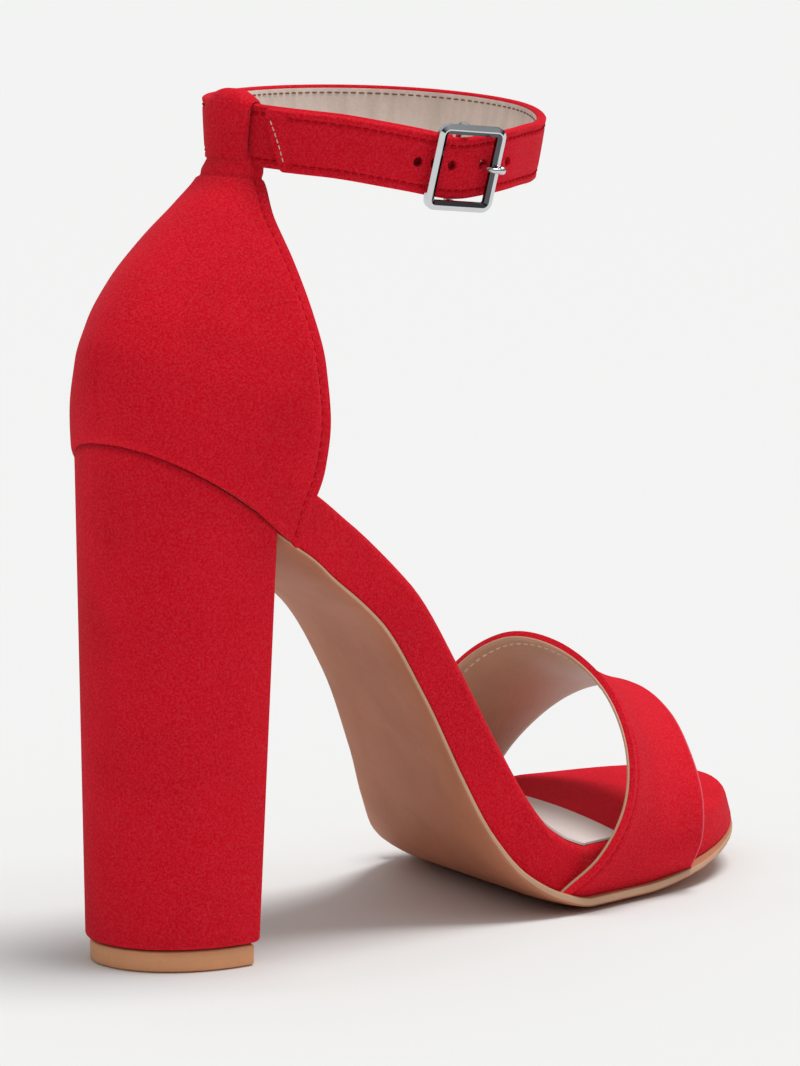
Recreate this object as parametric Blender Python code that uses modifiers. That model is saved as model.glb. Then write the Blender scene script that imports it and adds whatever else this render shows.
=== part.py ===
"""Ankle strap heel: a right sandal on a tall block heel.

A closed heel counter carries a buckled ankle strap, and one wide strap crosses the forefoot.
All sizes are millimetres in the frame of the last: X runs from heel to toe along the heel's own
centre line, +Y is the medial side, Z is up, and the origin is on the floor under the heel's back.
"""

import math

import bmesh
import bpy
import numpy as np
from mathutils import Vector

MM = 0.001
OBJECT_NAME = "ankle_strap_heel"

# Clearance between pieces that lie on each other
GAP = 0.3

# Sole: outline ends, edge rounding and the tan outsole
FOOTBED_BACK = 4.4
TOE_TIP = 186.0
HEEL_ROUND = 21.0
TOE_ROUND = 44.0
END_POWER = 2.2
OUTSOLE_BACK = 29.2
TREAD_FLAT = 0.6
TREAD_ROLL = 0.4
FOOTBED_TOP_RADIUS = 2.0
FOOTBED_LOW_RADIUS = 1.6
TOP_EDGE_SHARE = 0.8
LOW_EDGE_SHARE = 0.5
SEAT_END = 30.0
SHANK_START = 56.0
SOCK_THICKNESS = 1.0
SOCK_INSET = 2.2
SOCK_FRONT = 136.0

# Heel lift, set in from the cover of the block
LIFT_THICKNESS = 4.2
LIFT_INSET = 0.8
HEEL_POWER = 2.15

# Wall of the uppers and of the loop at the counter's neck
LEATHER = 1.8
ROUND_SHARE = 0.84
LOOP_WIDTH = 15.0
LOOP_WALL = 1.2
LOOP_SLACK = 0.45
LOOP_ROUNDING = (0.55, 0.35)

# Ankle strap: an oval ring whose top leans outward, and a tail that lies over its lateral side
STRAP_WIDTH = 12.4
STRAP_THICKNESS = 2.0
STRAP_CORNER = 0.45
RING_CENTRE = (73.2, -0.5)
RING_HALF = (35.0, 30.2)
RING_EGG = 0.18
BUCKLE_ANGLE = 82.4
BASE_END_ANGLE = BUCKLE_ANGLE - 1.9
TAIL_TIP_ANGLE = 20.0
TAIL_LIFT = STRAP_THICKNESS + 0.4
TAIL_RISE = (35.0, 9.0)
TIP_LENGTH = 6.0
TIP_SLANT = 4.0
TIP_CORNER = 1.1
HOLE_SPACING = 6.6
HOLE_OFFSET = 1.3
HOLE_RADIUS = 1.0
HOLE_COUNT = 4
HOLE_OVERRUN = 0.3

# Buckle: frame on top of the strap, centre bar under it, prong through a hole
BUCKLE_LENGTH = 15.4
BUCKLE_HEIGHT = 17.4
BUCKLE_CORNER = 1.3
BUCKLE_LIFT = 4.7
BUCKLE_TURN = 4.0
BUCKLE_LEAN = 3.0
BAR_WIDTH = 1.9
BAR_THICKNESS = 1.7
BAR_CHAMFER = 0.45
CENTRE_BAR_RADIUS = 0.65
CENTRE_BAR_LIFT = 0.1
CENTRE_BAR_REACH = 7.7
CENTRE_BAR_BEND = 0.8
PRONG_RADIUS = 0.55

# How finely the curved pieces are cut
SECTION_STEP = 4.6
END_TURNS = (3.0, 12.0, 24.0, 36.0, 48.0, 60.0, 75.0)
EDGE_STEPS = 3
TOP_PARTS = (0.75, 0.5, 0.25)
OUTSOLE_PARTS = (-1.0, -0.85, -0.6, 0.0, 0.6, 0.85, 1.0)
SOCK_POINTS = 9
HEEL_POINTS = 24
BREAST_PARTS = (1.0, 0.5, 0.0, -0.5, -1.0)
HEEL_LEVELS = 6
COUNTER_GRID = (32, 18)
VAMP_GRID = (40, 8)
LOOP_RINGS = 7
LOOP_POINTS = 24
STRAP_SECTIONS = 96
TIP_PARTS = (0.2, 0.4, 0.6, 0.8, 0.9, 0.97, 1.0)
HOLE_SEGMENTS = 14
BUCKLE_CORNER_STEPS = 4
WIRE_SEGMENTS = 10
SOLE_PROBE = 0.05
VAMP_PROBE = 0.01
RING_PROBE = 0.4


class Table:
    """Rows of named columns, read between rows by a smooth curve.

    The curve never overshoots a row, or, where the table is rounded, swings freely through its rows.
    """

    def __init__(self, columns, *rows, rounded=False):
        names = columns.split()
        self.rounded = rounded
        values = np.array(rows, dtype=float).T
        self.start = values[0][0]
        self.stop = values[0][-1]
        self.at = values[0]
        self.columns = {name: (column, self.slopes(column)) for name, column in zip(names, values)}

    def slopes(self, column):
        step = np.diff(self.at)
        rise = np.diff(column) / step
        slope = np.concatenate((rise[:1], np.zeros(len(step) - 1), rise[-1:]))
        for i in range(1, len(step)):
            if self.rounded:
                slope[i] = (step[i] * rise[i - 1] + step[i - 1] * rise[i]) / (step[i - 1] + step[i])
            elif rise[i - 1] * rise[i] > 0.0:
                before = 2.0 * step[i] + step[i - 1]
                after = step[i] + 2.0 * step[i - 1]
                slope[i] = (before + after) / (before / rise[i - 1] + after / rise[i])
        return slope

    def __call__(self, name, at):
        column, slope = self.columns[name]
        i = int(np.clip(np.searchsorted(self.at, at) - 1, 0, len(self.at) - 2))
        step = self.at[i + 1] - self.at[i]
        t = (at - self.at[i]) / step
        value = column[i] * (1.0 + 2.0 * t) * (1.0 - t) ** 2 + column[i + 1] * t * t * (3.0 - 2.0 * t)
        return value + step * (slope[i] * t * (1.0 - t) ** 2 - slope[i + 1] * t * t * (1.0 - t))


# The line on which the footbed lies, with the half widths of its underside, how far the outsole stands out
# beyond them, the turn of the section toward the oblique ball line, the thickness of the footbed and of the
# outsole's sheet, and how far the footbed's top flares and crowns
SOLE = Table(
    "x       y     z    lateral medial welt skew thickness sheet flare crown",
    (-4.0,   0.0, 107.6, 19.2, 19.2, 0.3,  0.0, 10.5, 1.6,  0.6, -1.0),
    (0.0,    0.0, 105.0, 19.2, 19.2, 0.3,  0.0, 10.5, 1.6,  0.6, -1.0),
    (18.0,   0.0,  93.1, 19.2, 19.2, 0.3,  0.0, 11.8, 1.6,  0.6, -1.0),
    (36.0,  -0.2,  81.2, 20.2, 20.4, 0.3,  0.0, 12.6, 1.6,  0.6, -1.2),
    (50.0,  -0.5,  74.2, 20.2, 20.2, 0.3, 12.0, 11.2, 1.7,  0.4, -1.0),
    (64.0,  -0.4,  65.0, 20.8, 20.4, 0.3, 17.0, 10.0, 1.8,  0.2, -0.8),
    (77.6,   0.6,  48.0, 22.0, 21.0, 0.3, 18.0,  9.8, 1.8,  0.0, -0.5),
    (88.0,   2.2,  31.0, 24.6, 23.0, 0.4, 18.0, 10.4, 1.9,  0.0, -0.2),
    (96.0,   4.4,  19.0, 28.2, 25.6, 1.0, 18.0, 10.9, 2.0,  0.0,  0.2),
    (105.0,  6.6,  10.0, 32.0, 29.4, 2.0, 18.0, 10.8, 2.4,  0.0,  0.6),
    (115.0,  8.0,   5.0, 34.6, 32.8, 2.8, 18.0, 10.4, 2.8,  0.0,  1.0),
    (124.0,  8.6,   2.9, 35.2, 34.2, 3.1, 18.0, 10.2, 2.9,  0.0,  1.4),
    (140.0,  9.6,   2.9, 34.6, 33.6, 3.1, 17.0, 10.2, 2.9,  0.0,  1.8),
    (154.0, 10.4,   4.4, 34.0, 32.2, 3.0, 13.0,  9.7, 2.5, -0.4,  1.6),
    (168.0, 11.6,   7.0, 32.8, 30.4, 1.2,  6.0,  7.6, 2.0, -0.8,  0.9),
    (188.0, 13.5,  11.0, 29.6, 27.0, -0.4, 0.0,  5.2, 1.5, -1.0,  0.4),
)

# The heel's D sections, from the lift up to the seat
HEEL = Table(
    "rise   width back front rounding",
    (0.0,   36.4, 2.9, 26.8, 22.0),
    (1.0,   43.6, 2.4, 28.4, 24.4),
)

# The counter's inner face at levels from the heel seat up to the neck under the loop
COUNTER = Table(
    "level  back_x back_z front_x front_z half_width round_part fullness",
    (0.0,    3.2, 104.6, 33.4,  83.2, 21.2, 0.72, 0.90),
    (1.0,    2.5, 110.0, 33.6,  90.0, 23.8, 0.78, 0.50),
    (2.0,    2.0, 115.0, 34.0,  98.0, 27.0, 0.84, 0.06),
    (3.0,    2.4, 120.5, 33.8, 107.5, 28.6, 0.88, -0.20),
    (4.0,    5.2, 127.0, 33.6, 117.5, 27.6, 0.90, -0.26),
    (5.0,   10.8, 134.0, 33.6, 127.5, 24.0, 0.90, -0.22),
    (6.0,   18.6, 141.0, 34.4, 137.0, 18.0, 0.90, -0.10),
    (7.0,   26.6, 147.2, 36.0, 145.2, 11.2, 0.90, 0.20),
    (8.0,   31.8, 151.2, 38.4, 150.2,  8.3, 0.90, 0.55),
    (9.0,   34.0, 153.6, 39.6, 153.2,  7.4, 0.90, 0.90),
)

# The forefoot strap's inner face around the foot, from its lateral to its medial foot: both edges and the
# swell between them
VAMP = Table(
    "turn  rear_x rear_y rear_z front_x front_y front_z swell sag",
    (0.00, 105.6, -25.8,  5.7, 144.4, -24.0,  5.3, 0.4, 1.2),
    (0.08, 111.7, -28.8, 11.2, 144.2, -26.7, 11.0, 0.9, 0.5),
    (0.18, 118.0, -30.0, 20.5, 145.9, -25.5, 18.2, 1.3, 0.0),
    (0.30, 124.2, -25.0, 32.0, 149.3, -19.2, 26.0, 1.4, 0.0),
    (0.42, 129.0, -13.8, 42.4, 155.2,  -8.2, 32.4, 1.5, 0.0),
    (0.54, 131.6,   1.8, 48.7, 161.2,   6.0, 35.6, 1.6, 0.0),
    (0.66, 132.6,  17.8, 48.5, 164.4,  20.8, 34.9, 1.6, 0.0),
    (0.78, 131.8,  32.0, 39.2, 162.6,  33.0, 28.4, 1.4, 0.0),
    (0.89, 129.6,  41.6, 23.0, 158.4,  41.4, 18.0, 1.2, 0.0),
    (0.95, 127.6,  43.4, 13.2, 155.2,  43.0, 11.6, 0.9, 0.3),
    (1.00, 125.4,  42.7,  5.9, 152.2,  42.1,  4.6, 0.4, 1.2),
    rounded=True,
)

# Height and outward lean of the ankle ring's centre line around its oval, from the loop over the lateral
# side and the front
RING = Table(
    "angle  height lean",
    (0.0,    161.9,  0.0),
    (40.0,   160.0,  6.0),
    (85.0,   155.9, 10.0),
    (120.0,  156.0, 10.0),
    (165.0,  158.1, 10.0),
    (220.0,  159.8,  8.0),
    (300.0,  161.1,  4.0),
    (360.0,  161.9,  0.0),
)

# Course of the prong in the buckle's flat frame: along the strap, and outward from the ring's middle
PRONG = (
    (1.25, 0.1),
    (2.4, -0.1),
    (4.4, 0.0),
    (4.85, 0.6),
    (4.85, 5.0),
    (5.4, 6.15),
    (6.3, 6.48),
    (8.2, 6.40),
)

# Colours (linear), roughness and metallic value of each finish
FINISHES = {
    "red_suede": ((0.48, 0.008, 0.016), 0.92, 0.0),
    "pale_sock": ((0.66, 0.53, 0.46), 0.55, 0.0),
    "tan_sole": ((0.42, 0.19, 0.11), 0.5, 0.0),
    "chrome": ((0.72, 0.73, 0.75), 0.12, 1.0),
}


def smooth_step(low, high, at):
    t = min(max((at - low) / (high - low), 0.0), 1.0)
    return t * t * (3.0 - 2.0 * t)


def material(name, finish):
    colour, roughness, metallic = FINISHES[finish]
    made = bpy.data.materials.new(name)
    made.use_nodes = True
    shader = made.node_tree.nodes["Principled BSDF"]
    shader.inputs["Base Color"].default_value = (*colour, 1.0)
    shader.inputs["Roughness"].default_value = roughness
    shader.inputs["Metallic"].default_value = metallic
    made.diffuse_color = (*colour, 1.0)
    return made


def add_object(name, mesh, finish, collection, parent):
    """A named piece with its own material, smooth shaded, under the object's empty."""
    mesh.materials.append(material(name, finish))
    mesh.shade_smooth()
    piece = bpy.data.objects.new(name, mesh)
    collection.objects.link(piece)
    piece.parent = parent
    return piece


def loft(name, rings, closed=False, capped=True):
    """A skin over rings of equal count: capped, closed on itself, or left as an open tube."""
    shell = bmesh.new()
    rows = [[shell.verts.new(Vector(point) * MM) for point in ring] for ring in rings]
    count = len(rows[0])
    pairs = list(zip(rows, rows[1:]))
    if closed:
        pairs.append((rows[-1], rows[0]))
    for low, high in pairs:
        for i in range(count):
            j = (i + 1) % count
            shell.faces.new((low[i], low[j], high[j], high[i]))
    if capped and not closed:
        shell.faces.new(rows[0])
        shell.faces.new(rows[-1])
    bmesh.ops.recalc_face_normals(shell, faces=shell.faces)
    mesh = bpy.data.meshes.new(name)
    shell.to_mesh(mesh)
    shell.free()
    return mesh


def mapped_grid(name, across, along, surface):
    """A grid whose two unit coordinates are carried onto a surface."""
    sheet = bmesh.new()
    bmesh.ops.create_grid(sheet, x_segments=across, y_segments=along, size=0.5)
    for vertex in sheet.verts:
        vertex.co = Vector(surface(vertex.co.x + 0.5, vertex.co.y + 0.5)) * MM
    mesh = bpy.data.meshes.new(name)
    sheet.to_mesh(mesh)
    sheet.free()
    return mesh


def thicken(piece, thickness):
    """The wall of a sheet, grown to the back of its faces."""
    wall = piece.modifiers.new("wall", "SOLIDIFY")
    wall.thickness = thickness * MM
    wall.offset = -1.0
    wall.use_even_offset = True
    wall.use_quality_normals = True


def sole_frame(x):
    """Centre, cross direction and up direction of the sole at one station."""
    run = 2.0 * SOLE_PROBE
    slope_y = (SOLE("y", x + SOLE_PROBE) - SOLE("y", x - SOLE_PROBE)) / run
    slope_z = (SOLE("z", x + SOLE_PROBE) - SOLE("z", x - SOLE_PROBE)) / run
    skew = math.radians(SOLE("skew", x))
    cross = np.array((math.sin(skew), math.cos(skew), 0.0))
    normal = np.cross((1.0, slope_y, slope_z), cross)
    normal /= np.linalg.norm(normal)
    lean = smooth_step(SEAT_END, SHANK_START, x)
    up = normal * lean + np.array((0.0, 0.0, 1.0)) * (1.0 - lean)
    centre = np.array((x, SOLE("y", x), SOLE("z", x)))
    return centre, cross, up / np.linalg.norm(up)


def sole_point(x, across, up):
    centre, cross, rise = sole_frame(x)
    return centre + cross * across + rise * up


def end_factor(x, back, front):
    """Share of the full width that is left in the rounded heel and toe ends."""
    heel = max((back + HEEL_ROUND - x) / HEEL_ROUND, 0.0)
    toe = max((x - front + TOE_ROUND) / TOE_ROUND, 0.0)
    inside = max(1.0 - heel ** END_POWER, 0.0) * max(1.0 - toe ** END_POWER, 0.0)
    return inside ** (1.0 / END_POWER)


def stations(back, front, round_back=True, round_front=True):
    """Places of the sections along the sole, close together where an end is round."""
    turns = [math.radians(angle) for angle in END_TURNS]
    heel = [back + HEEL_ROUND * (1.0 - math.cos(turn)) for turn in turns] if round_back else [back]
    toe = [front - TOE_ROUND * (1.0 - math.cos(turn)) for turn in turns] if round_front else [front]
    count = max(int((toe[-1] - heel[-1]) / SECTION_STEP), 2)
    middle = np.linspace(heel[-1], toe[-1], count + 1)[1:-1]
    return heel + list(middle) + toe[::-1]


def footbed_half(x, column):
    """Half widths of the footbed on one side of a station: of its underside, and of its flat top."""
    share = end_factor(x, FOOTBED_BACK, TOE_TIP)
    half = SOLE(column, x) * share
    edge = min(FOOTBED_TOP_RADIUS, TOP_EDGE_SHARE * half)
    return half, half + SOLE("flare", x) * share - edge, edge


def footbed_top(x, part):
    """Height of the footbed's top over its bearing line, at a part of the flat top's half width."""
    return SOLE("thickness", x) + SOLE("crown", x) * (1.0 - part * part)


def corner(across, up, radius, start):
    """Quarter round of a section's edge, as (across, up) pairs counted outward from the middle."""
    turns = [math.radians(start + 90.0 * step / EDGE_STEPS) for step in range(EDGE_STEPS + 1)]
    return [(across + radius * math.cos(turn), up + radius * math.sin(turn)) for turn in turns]


def footbed_ring(x):
    """Section of the footbed: flat below, rounded at its edges, cupped or crowned on top."""
    drop = max(FOOTBED_TOP_RADIUS - min(x - FOOTBED_BACK, TOE_TIP - x), 0.0)
    rounding = FOOTBED_TOP_RADIUS - math.sqrt(FOOTBED_TOP_RADIUS ** 2 - drop ** 2)
    top = SOLE("thickness", x) - rounding
    section = []
    for side, column in ((1.0, "medial"), (-1.0, "lateral")):
        half, flat, top_radius = footbed_half(x, column)
        low_radius = min(FOOTBED_LOW_RADIUS, LOW_EDGE_SHARE * half)
        edge = corner(half - low_radius, GAP + low_radius, low_radius, -90.0)
        edge += corner(flat, top - top_radius, top_radius, 0.0)
        for part in TOP_PARTS:
            edge.append((part * flat, footbed_top(x, part) - rounding))
        if side > 0.0:
            edge.append((0.0, footbed_top(x, 0.0) - rounding))
        else:
            edge.reverse()
        section += [sole_point(x, side * across, up) for across, up in edge]
    return section


def footbed(collection, parent):
    rings = [footbed_ring(x) for x in stations(FOOTBED_BACK, TOE_TIP)]
    return add_object("footbed", loft("footbed", rings), "red_suede", collection, parent)


def outsole(collection, parent):
    """Thin tan sole from the heel's breast to the toe: flat under the ball, rolled up at both sides."""
    front = TOE_TIP + SOLE("welt", TOE_TIP)
    rings = []
    for x in stations(OUTSOLE_BACK, front, round_back=False):
        share = end_factor(x, FOOTBED_BACK, front)
        low = []
        high = []
        for part in OUTSOLE_PARTS:
            column = "medial" if part > 0.0 else "lateral"
            across = part * (SOLE(column, x) + SOLE("welt", x)) * share
            roll = (max(abs(part) - TREAD_FLAT, 0.0) / (1.0 - TREAD_FLAT)) ** 2
            low.append((across, -SOLE("sheet", x) * (1.0 - TREAD_ROLL * roll)))
            high.append((across, 0.0))
        rings.append([sole_point(x, across, up) for across, up in low + high[::-1]])
    return add_object("outsole", loft("outsole", rings), "tan_sole", collection, parent)


def insole_sock(collection, parent):
    """Pale sock over the footbed from the heel to a straight cut along the ball line."""
    rings = []
    back = FOOTBED_BACK + SOCK_INSET
    for x in stations(back, SOCK_FRONT, round_front=False):
        share = end_factor(x, back, TOE_TIP)
        low = []
        for part in np.linspace(-1.0, 1.0, SOCK_POINTS):
            column = "medial" if part > 0.0 else "lateral"
            across = part * (SOLE(column, x) + SOLE("flare", x) - SOCK_INSET) * share
            flat = footbed_half(x, column)[1]
            low.append((across, footbed_top(x, across / flat) + GAP))
        high = [(across, up + SOCK_THICKNESS) for across, up in low]
        rings.append([sole_point(x, across, up) for across, up in low + high[::-1]])
    return add_object("insole_sock", loft("insole_sock", rings), "pale_sock", collection, parent)


def heel_outline(rise, inset=0.0):
    """D-shaped plan of the heel: a half oval behind, straight sides, a flat breast in front."""
    half = HEEL("width", rise) / 2.0 - inset
    back = HEEL("back", rise) + inset
    front = HEEL("front", rise) - inset
    rounding = HEEL("rounding", rise)
    power = 2.0 / HEEL_POWER
    plan = []
    for turn in np.linspace(-math.pi / 2.0, math.pi / 2.0, HEEL_POINTS + 1):
        across = math.copysign(half * abs(math.sin(turn)) ** power, turn)
        plan.append((back + rounding * (1.0 - max(math.cos(turn), 0.0) ** power), across))
    return plan + [(front, half * part) for part in BREAST_PARTS]


def heel_block(collection, parent):
    foot = LIFT_THICKNESS + GAP
    rings = []
    for rise in np.linspace(0.0, 1.0, HEEL_LEVELS):
        ring = []
        for x, y in heel_outline(rise):
            ring.append((x, y, foot + (SOLE("z", x) - foot) * rise))
        rings.append(ring)
    return add_object("heel_block", loft("heel_block", rings), "red_suede", collection, parent)


def heel_lift(collection, parent):
    plan = heel_outline(0.0, inset=LIFT_INSET)
    rings = [[(x, y, z) for x, y in plan] for z in (0.0, LIFT_THICKNESS)]
    return add_object("heel_lift", loft("heel_lift", rings), "tan_sole", collection, parent)


def counter_surface(around, height):
    """Inner face of the counter: around runs from the lateral front edge over the back to the medial one."""
    level = height * COUNTER.stop
    back = COUNTER("back_x", level)
    depth = COUNTER("front_x", level) - back
    round_part = COUNTER("round_part", level)
    away = abs(2.0 * around - 1.0)
    curve = math.sin(math.radians(90.0) * min(away / ROUND_SHARE, 1.0)) ** 2
    straight = max(away - ROUND_SHARE, 0.0) / (1.0 - ROUND_SHARE)
    forward = round_part * curve + (1.0 - round_part) * straight
    width = math.sqrt(curve * (1.0 + COUNTER("fullness", level) * (1.0 - curve)))
    side = math.copysign(COUNTER("half_width", level) * width, around - 0.5)
    z = COUNTER("back_z", level) + (COUNTER("front_z", level) - COUNTER("back_z", level)) * forward
    return back + depth * forward, side, z


def heel_counter(collection, parent):
    """Closed back of the upper, hollow, open in front and above."""
    mesh = mapped_grid("heel_counter", *COUNTER_GRID, counter_surface)
    piece = add_object("heel_counter", mesh, "red_suede", collection, parent)
    thicken(piece, LEATHER)
    return piece


def vamp_surface(turn, width):
    """Inner face of the forefoot strap: turn goes over the foot, width from the rear to the front edge."""
    rear = np.array([VAMP("rear_" + axis, turn) for axis in "xyz"])
    front = np.array([VAMP("front_" + axis, turn) for axis in "xyz"])
    course = np.zeros(3)
    for sign in (-1.0, 1.0):
        place = min(max(turn + sign * VAMP_PROBE, 0.0), 1.0)
        for edge in ("rear_", "front_"):
            course += sign * np.array([VAMP(edge + axis, place) for axis in "xyz"])
    outward = np.cross(course, front - rear)
    outward /= np.linalg.norm(outward)
    bow = 4.0 * width * (1.0 - width)
    drop = np.array((0.0, 0.0, VAMP("sag", turn)))
    return rear + (front - rear) * width + (outward * VAMP("swell", turn) - drop) * bow


def vamp_strap(collection, parent):
    mesh = mapped_grid("vamp_strap", *VAMP_GRID, vamp_surface)
    piece = add_object("vamp_strap", mesh, "red_suede", collection, parent)
    thicken(piece, LEATHER)
    return piece


def ring_point(angle):
    """Centre line of the ankle ring; angles grow from the loop over the lateral side to the front."""
    turn = math.radians(angle)
    x = RING_CENTRE[0] - RING_HALF[0] * math.cos(turn)
    y = RING_CENTRE[1] - RING_HALF[1] * math.sin(turn) * (1.0 - RING_EGG * math.cos(turn))
    return np.array((x, y, RING("height", angle % 360.0)))


def ring_frame(angle):
    """Centre of the ankle ring with its along (to larger angles), outward and up directions."""
    along = ring_point(angle + RING_PROBE) - ring_point(angle - RING_PROBE)
    along /= np.linalg.norm(along)
    outward = np.cross((0.0, 0.0, 1.0), along) * -1.0
    outward /= np.linalg.norm(outward)
    away = ring_point(angle) - np.array((*RING_CENTRE, 0.0))
    outward *= math.copysign(1.0, np.dot(outward[:2], away[:2]))
    up = np.cross(outward, along)
    up *= math.copysign(1.0, up[2])
    lean = math.radians(RING("lean", angle % 360.0))
    leaning_out = outward * math.cos(lean) - up * math.sin(lean)
    leaning_up = up * math.cos(lean) + outward * math.sin(lean)
    return ring_point(angle), along, leaning_out, leaning_up


def chamfered(half_out, half_up, chamfer):
    """Rectangle with cut corners, as (outward, up) pairs."""
    quarter = ((half_out, half_up - chamfer), (half_out - chamfer, half_up))
    right = [(out, up) for out, up in quarter]
    left = [(-out, up) for out, up in quarter[::-1]]
    return right + left + [(-out, -up) for out, up in right + left]


def strap_loop(collection, parent):
    """Folded tab at the top of the counter, a short sleeve around the ankle strap."""
    half_angle = math.degrees(0.5 * LOOP_WIDTH / RING_HALF[1])
    half_out = STRAP_THICKNESS / 2.0 + LOOP_SLACK + LOOP_WALL
    half_up = STRAP_WIDTH / 2.0 + LOOP_SLACK + LOOP_WALL
    rings = []
    for angle in np.linspace(-half_angle, half_angle, LOOP_RINGS):
        centre, _, outward, up = ring_frame(angle)
        ring = []
        for step in range(LOOP_POINTS):
            turn = 2.0 * math.pi * (step + 0.5) / LOOP_POINTS
            out = half_out * math.copysign(abs(math.cos(turn)) ** LOOP_ROUNDING[0], math.cos(turn))
            rise = half_up * math.copysign(abs(math.sin(turn)) ** LOOP_ROUNDING[1], math.sin(turn))
            ring.append(centre + outward * out + up * rise)
        rings.append(ring)
    mesh = loft("strap_loop", rings, capped=False)
    piece = add_object("strap_loop", mesh, "red_suede", collection, parent)
    thicken(piece, LOOP_WALL)
    return piece


def tail_lift(angle):
    """How far the strap lies outward of its ring at an angle counted on past the first turn."""
    start = BUCKLE_ANGLE - 360.0 + TAIL_RISE[0]
    stop = BUCKLE_ANGLE - 360.0 + TAIL_RISE[1]
    return TAIL_LIFT * (1.0 - smooth_step(stop, start, angle))


def ankle_strap(collection, parent, cutters):
    """One strap from the buckle's bar back through the loop, round the ankle, and over itself as a tail."""
    tip = TAIL_TIP_ANGLE - 360.0
    per_degree = math.radians(1.0) * RING_HALF[1]
    tip_start = tip + TIP_LENGTH / per_degree
    angles = list(np.linspace(BASE_END_ANGLE, tip_start, STRAP_SECTIONS))
    angles += [tip_start + (tip - tip_start) * part for part in TIP_PARTS]
    rings = []
    for angle in angles:
        centre, along, outward, up = ring_frame(angle)
        past = min(max((tip_start - angle) / (tip_start - tip), 0.0), 1.0)
        into_corner = max(TIP_CORNER - (1.0 - past) * TIP_LENGTH, 0.0)
        half_width = STRAP_WIDTH / 2.0 - TIP_CORNER + math.sqrt(TIP_CORNER ** 2 - into_corner ** 2)
        middle = centre + outward * tail_lift(angle)
        section = chamfered(STRAP_THICKNESS / 2.0, half_width, STRAP_CORNER)
        slant = along * TIP_SLANT * past / STRAP_WIDTH
        rings.append([middle + outward * out + (up - slant) * rise for out, rise in section])
    piece = add_object("ankle_strap", loft("ankle_strap", rings), "red_suede", collection, parent)
    for number in range(HOLE_COUNT):
        along = HOLE_OFFSET + HOLE_SPACING * (number - (HOLE_COUNT - 1) / 2.0)
        punch(piece, along, cutters, parent, f"strap_hole_{number + 1}")
    return piece


def punch(strap, along, cutters, parent, name):
    """A round hole through the tail only, at a distance along the strap from the buckle's middle."""
    angle = BUCKLE_ANGLE + along / (math.radians(1.0) * RING_HALF[0])
    centre, _, outward, _ = ring_frame(angle)
    depth = STRAP_THICKNESS + 2.0 * HOLE_OVERRUN
    middle = centre + outward * tail_lift(angle - 360.0)
    shape = bmesh.new()
    bmesh.ops.create_cone(shape, cap_ends=True, segments=HOLE_SEGMENTS, radius1=HOLE_RADIUS * MM,
                          radius2=HOLE_RADIUS * MM, depth=depth * MM)
    mesh = bpy.data.meshes.new(name)
    shape.to_mesh(mesh)
    shape.free()
    cutter = bpy.data.objects.new(name, mesh)
    cutters.objects.link(cutter)
    cutter.parent = parent
    cutter.location = Vector(middle) * MM
    cutter.rotation_euler = Vector(outward).to_track_quat("Z", "Y").to_euler()
    cutter.hide_render = True
    cutter.display_type = "WIRE"
    cut = strap.modifiers.new(name, "BOOLEAN")
    cut.operation = "DIFFERENCE"
    cut.solver = "EXACT"
    cut.object = cutter


def buckle_point(along, lift, rise):
    """A point in the flat frame of the buckle: along the strap, outward from the ring, and up."""
    centre, forward, outward, up = ring_frame(BUCKLE_ANGLE)
    turn = math.radians(BUCKLE_TURN)
    lean = math.radians(BUCKLE_LEAN)
    forward, up = forward * math.cos(turn) - up * math.sin(turn), up * math.cos(turn) + forward * math.sin(turn)
    outward, up = outward * math.cos(lean) - up * math.sin(lean), up * math.cos(lean) + outward * math.sin(lean)
    return centre + forward * along + outward * lift + up * rise


def buckle_frame(collection, parent):
    half_long = (BUCKLE_LENGTH - BAR_WIDTH) / 2.0
    half_high = (BUCKLE_HEIGHT - BAR_WIDTH) / 2.0
    rings = []
    for quarter in range(4):
        for step in range(BUCKLE_CORNER_STEPS + 1):
            turn = math.radians(90.0 * (quarter + step / BUCKLE_CORNER_STEPS))
            mid_turn = math.radians(90.0 * quarter + 45.0)
            middle = ((half_long - BUCKLE_CORNER) * math.copysign(1.0, math.cos(mid_turn)),
                      (half_high - BUCKLE_CORNER) * math.copysign(1.0, math.sin(mid_turn)))
            ring = []
            for wide, thick in chamfered(BAR_WIDTH / 2.0, BAR_THICKNESS / 2.0, BAR_CHAMFER):
                radius = BUCKLE_CORNER + wide
                along = middle[0] + radius * math.cos(turn)
                rise = middle[1] + radius * math.sin(turn)
                ring.append(buckle_point(along, BUCKLE_LIFT + thick, rise))
            rings.append(ring)
    mesh = loft("buckle_frame", rings, closed=True)
    return add_object("buckle_frame", mesh, "chrome", collection, parent)


def wire(name, points, radius, collection, parent):
    """A round wire with closed ends, bent in one plane; its sections turn about the plane's own normal."""
    points = np.array(points)
    flat_side = np.linalg.svd(points - points.mean(axis=0))[2][2]
    rings = []
    for i, point in enumerate(points):
        course = points[min(i + 1, len(points) - 1)] - points[max(i - 1, 0)]
        bend_side = np.cross(course, flat_side)
        bend_side /= np.linalg.norm(bend_side)
        ring = []
        for step in range(WIRE_SEGMENTS):
            angle = 2.0 * math.pi * step / WIRE_SEGMENTS
            ring.append(point + radius * (flat_side * math.cos(angle) + bend_side * math.sin(angle)))
        rings.append(ring)
    return add_object(name, loft(name, rings), "chrome", collection, parent)


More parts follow.
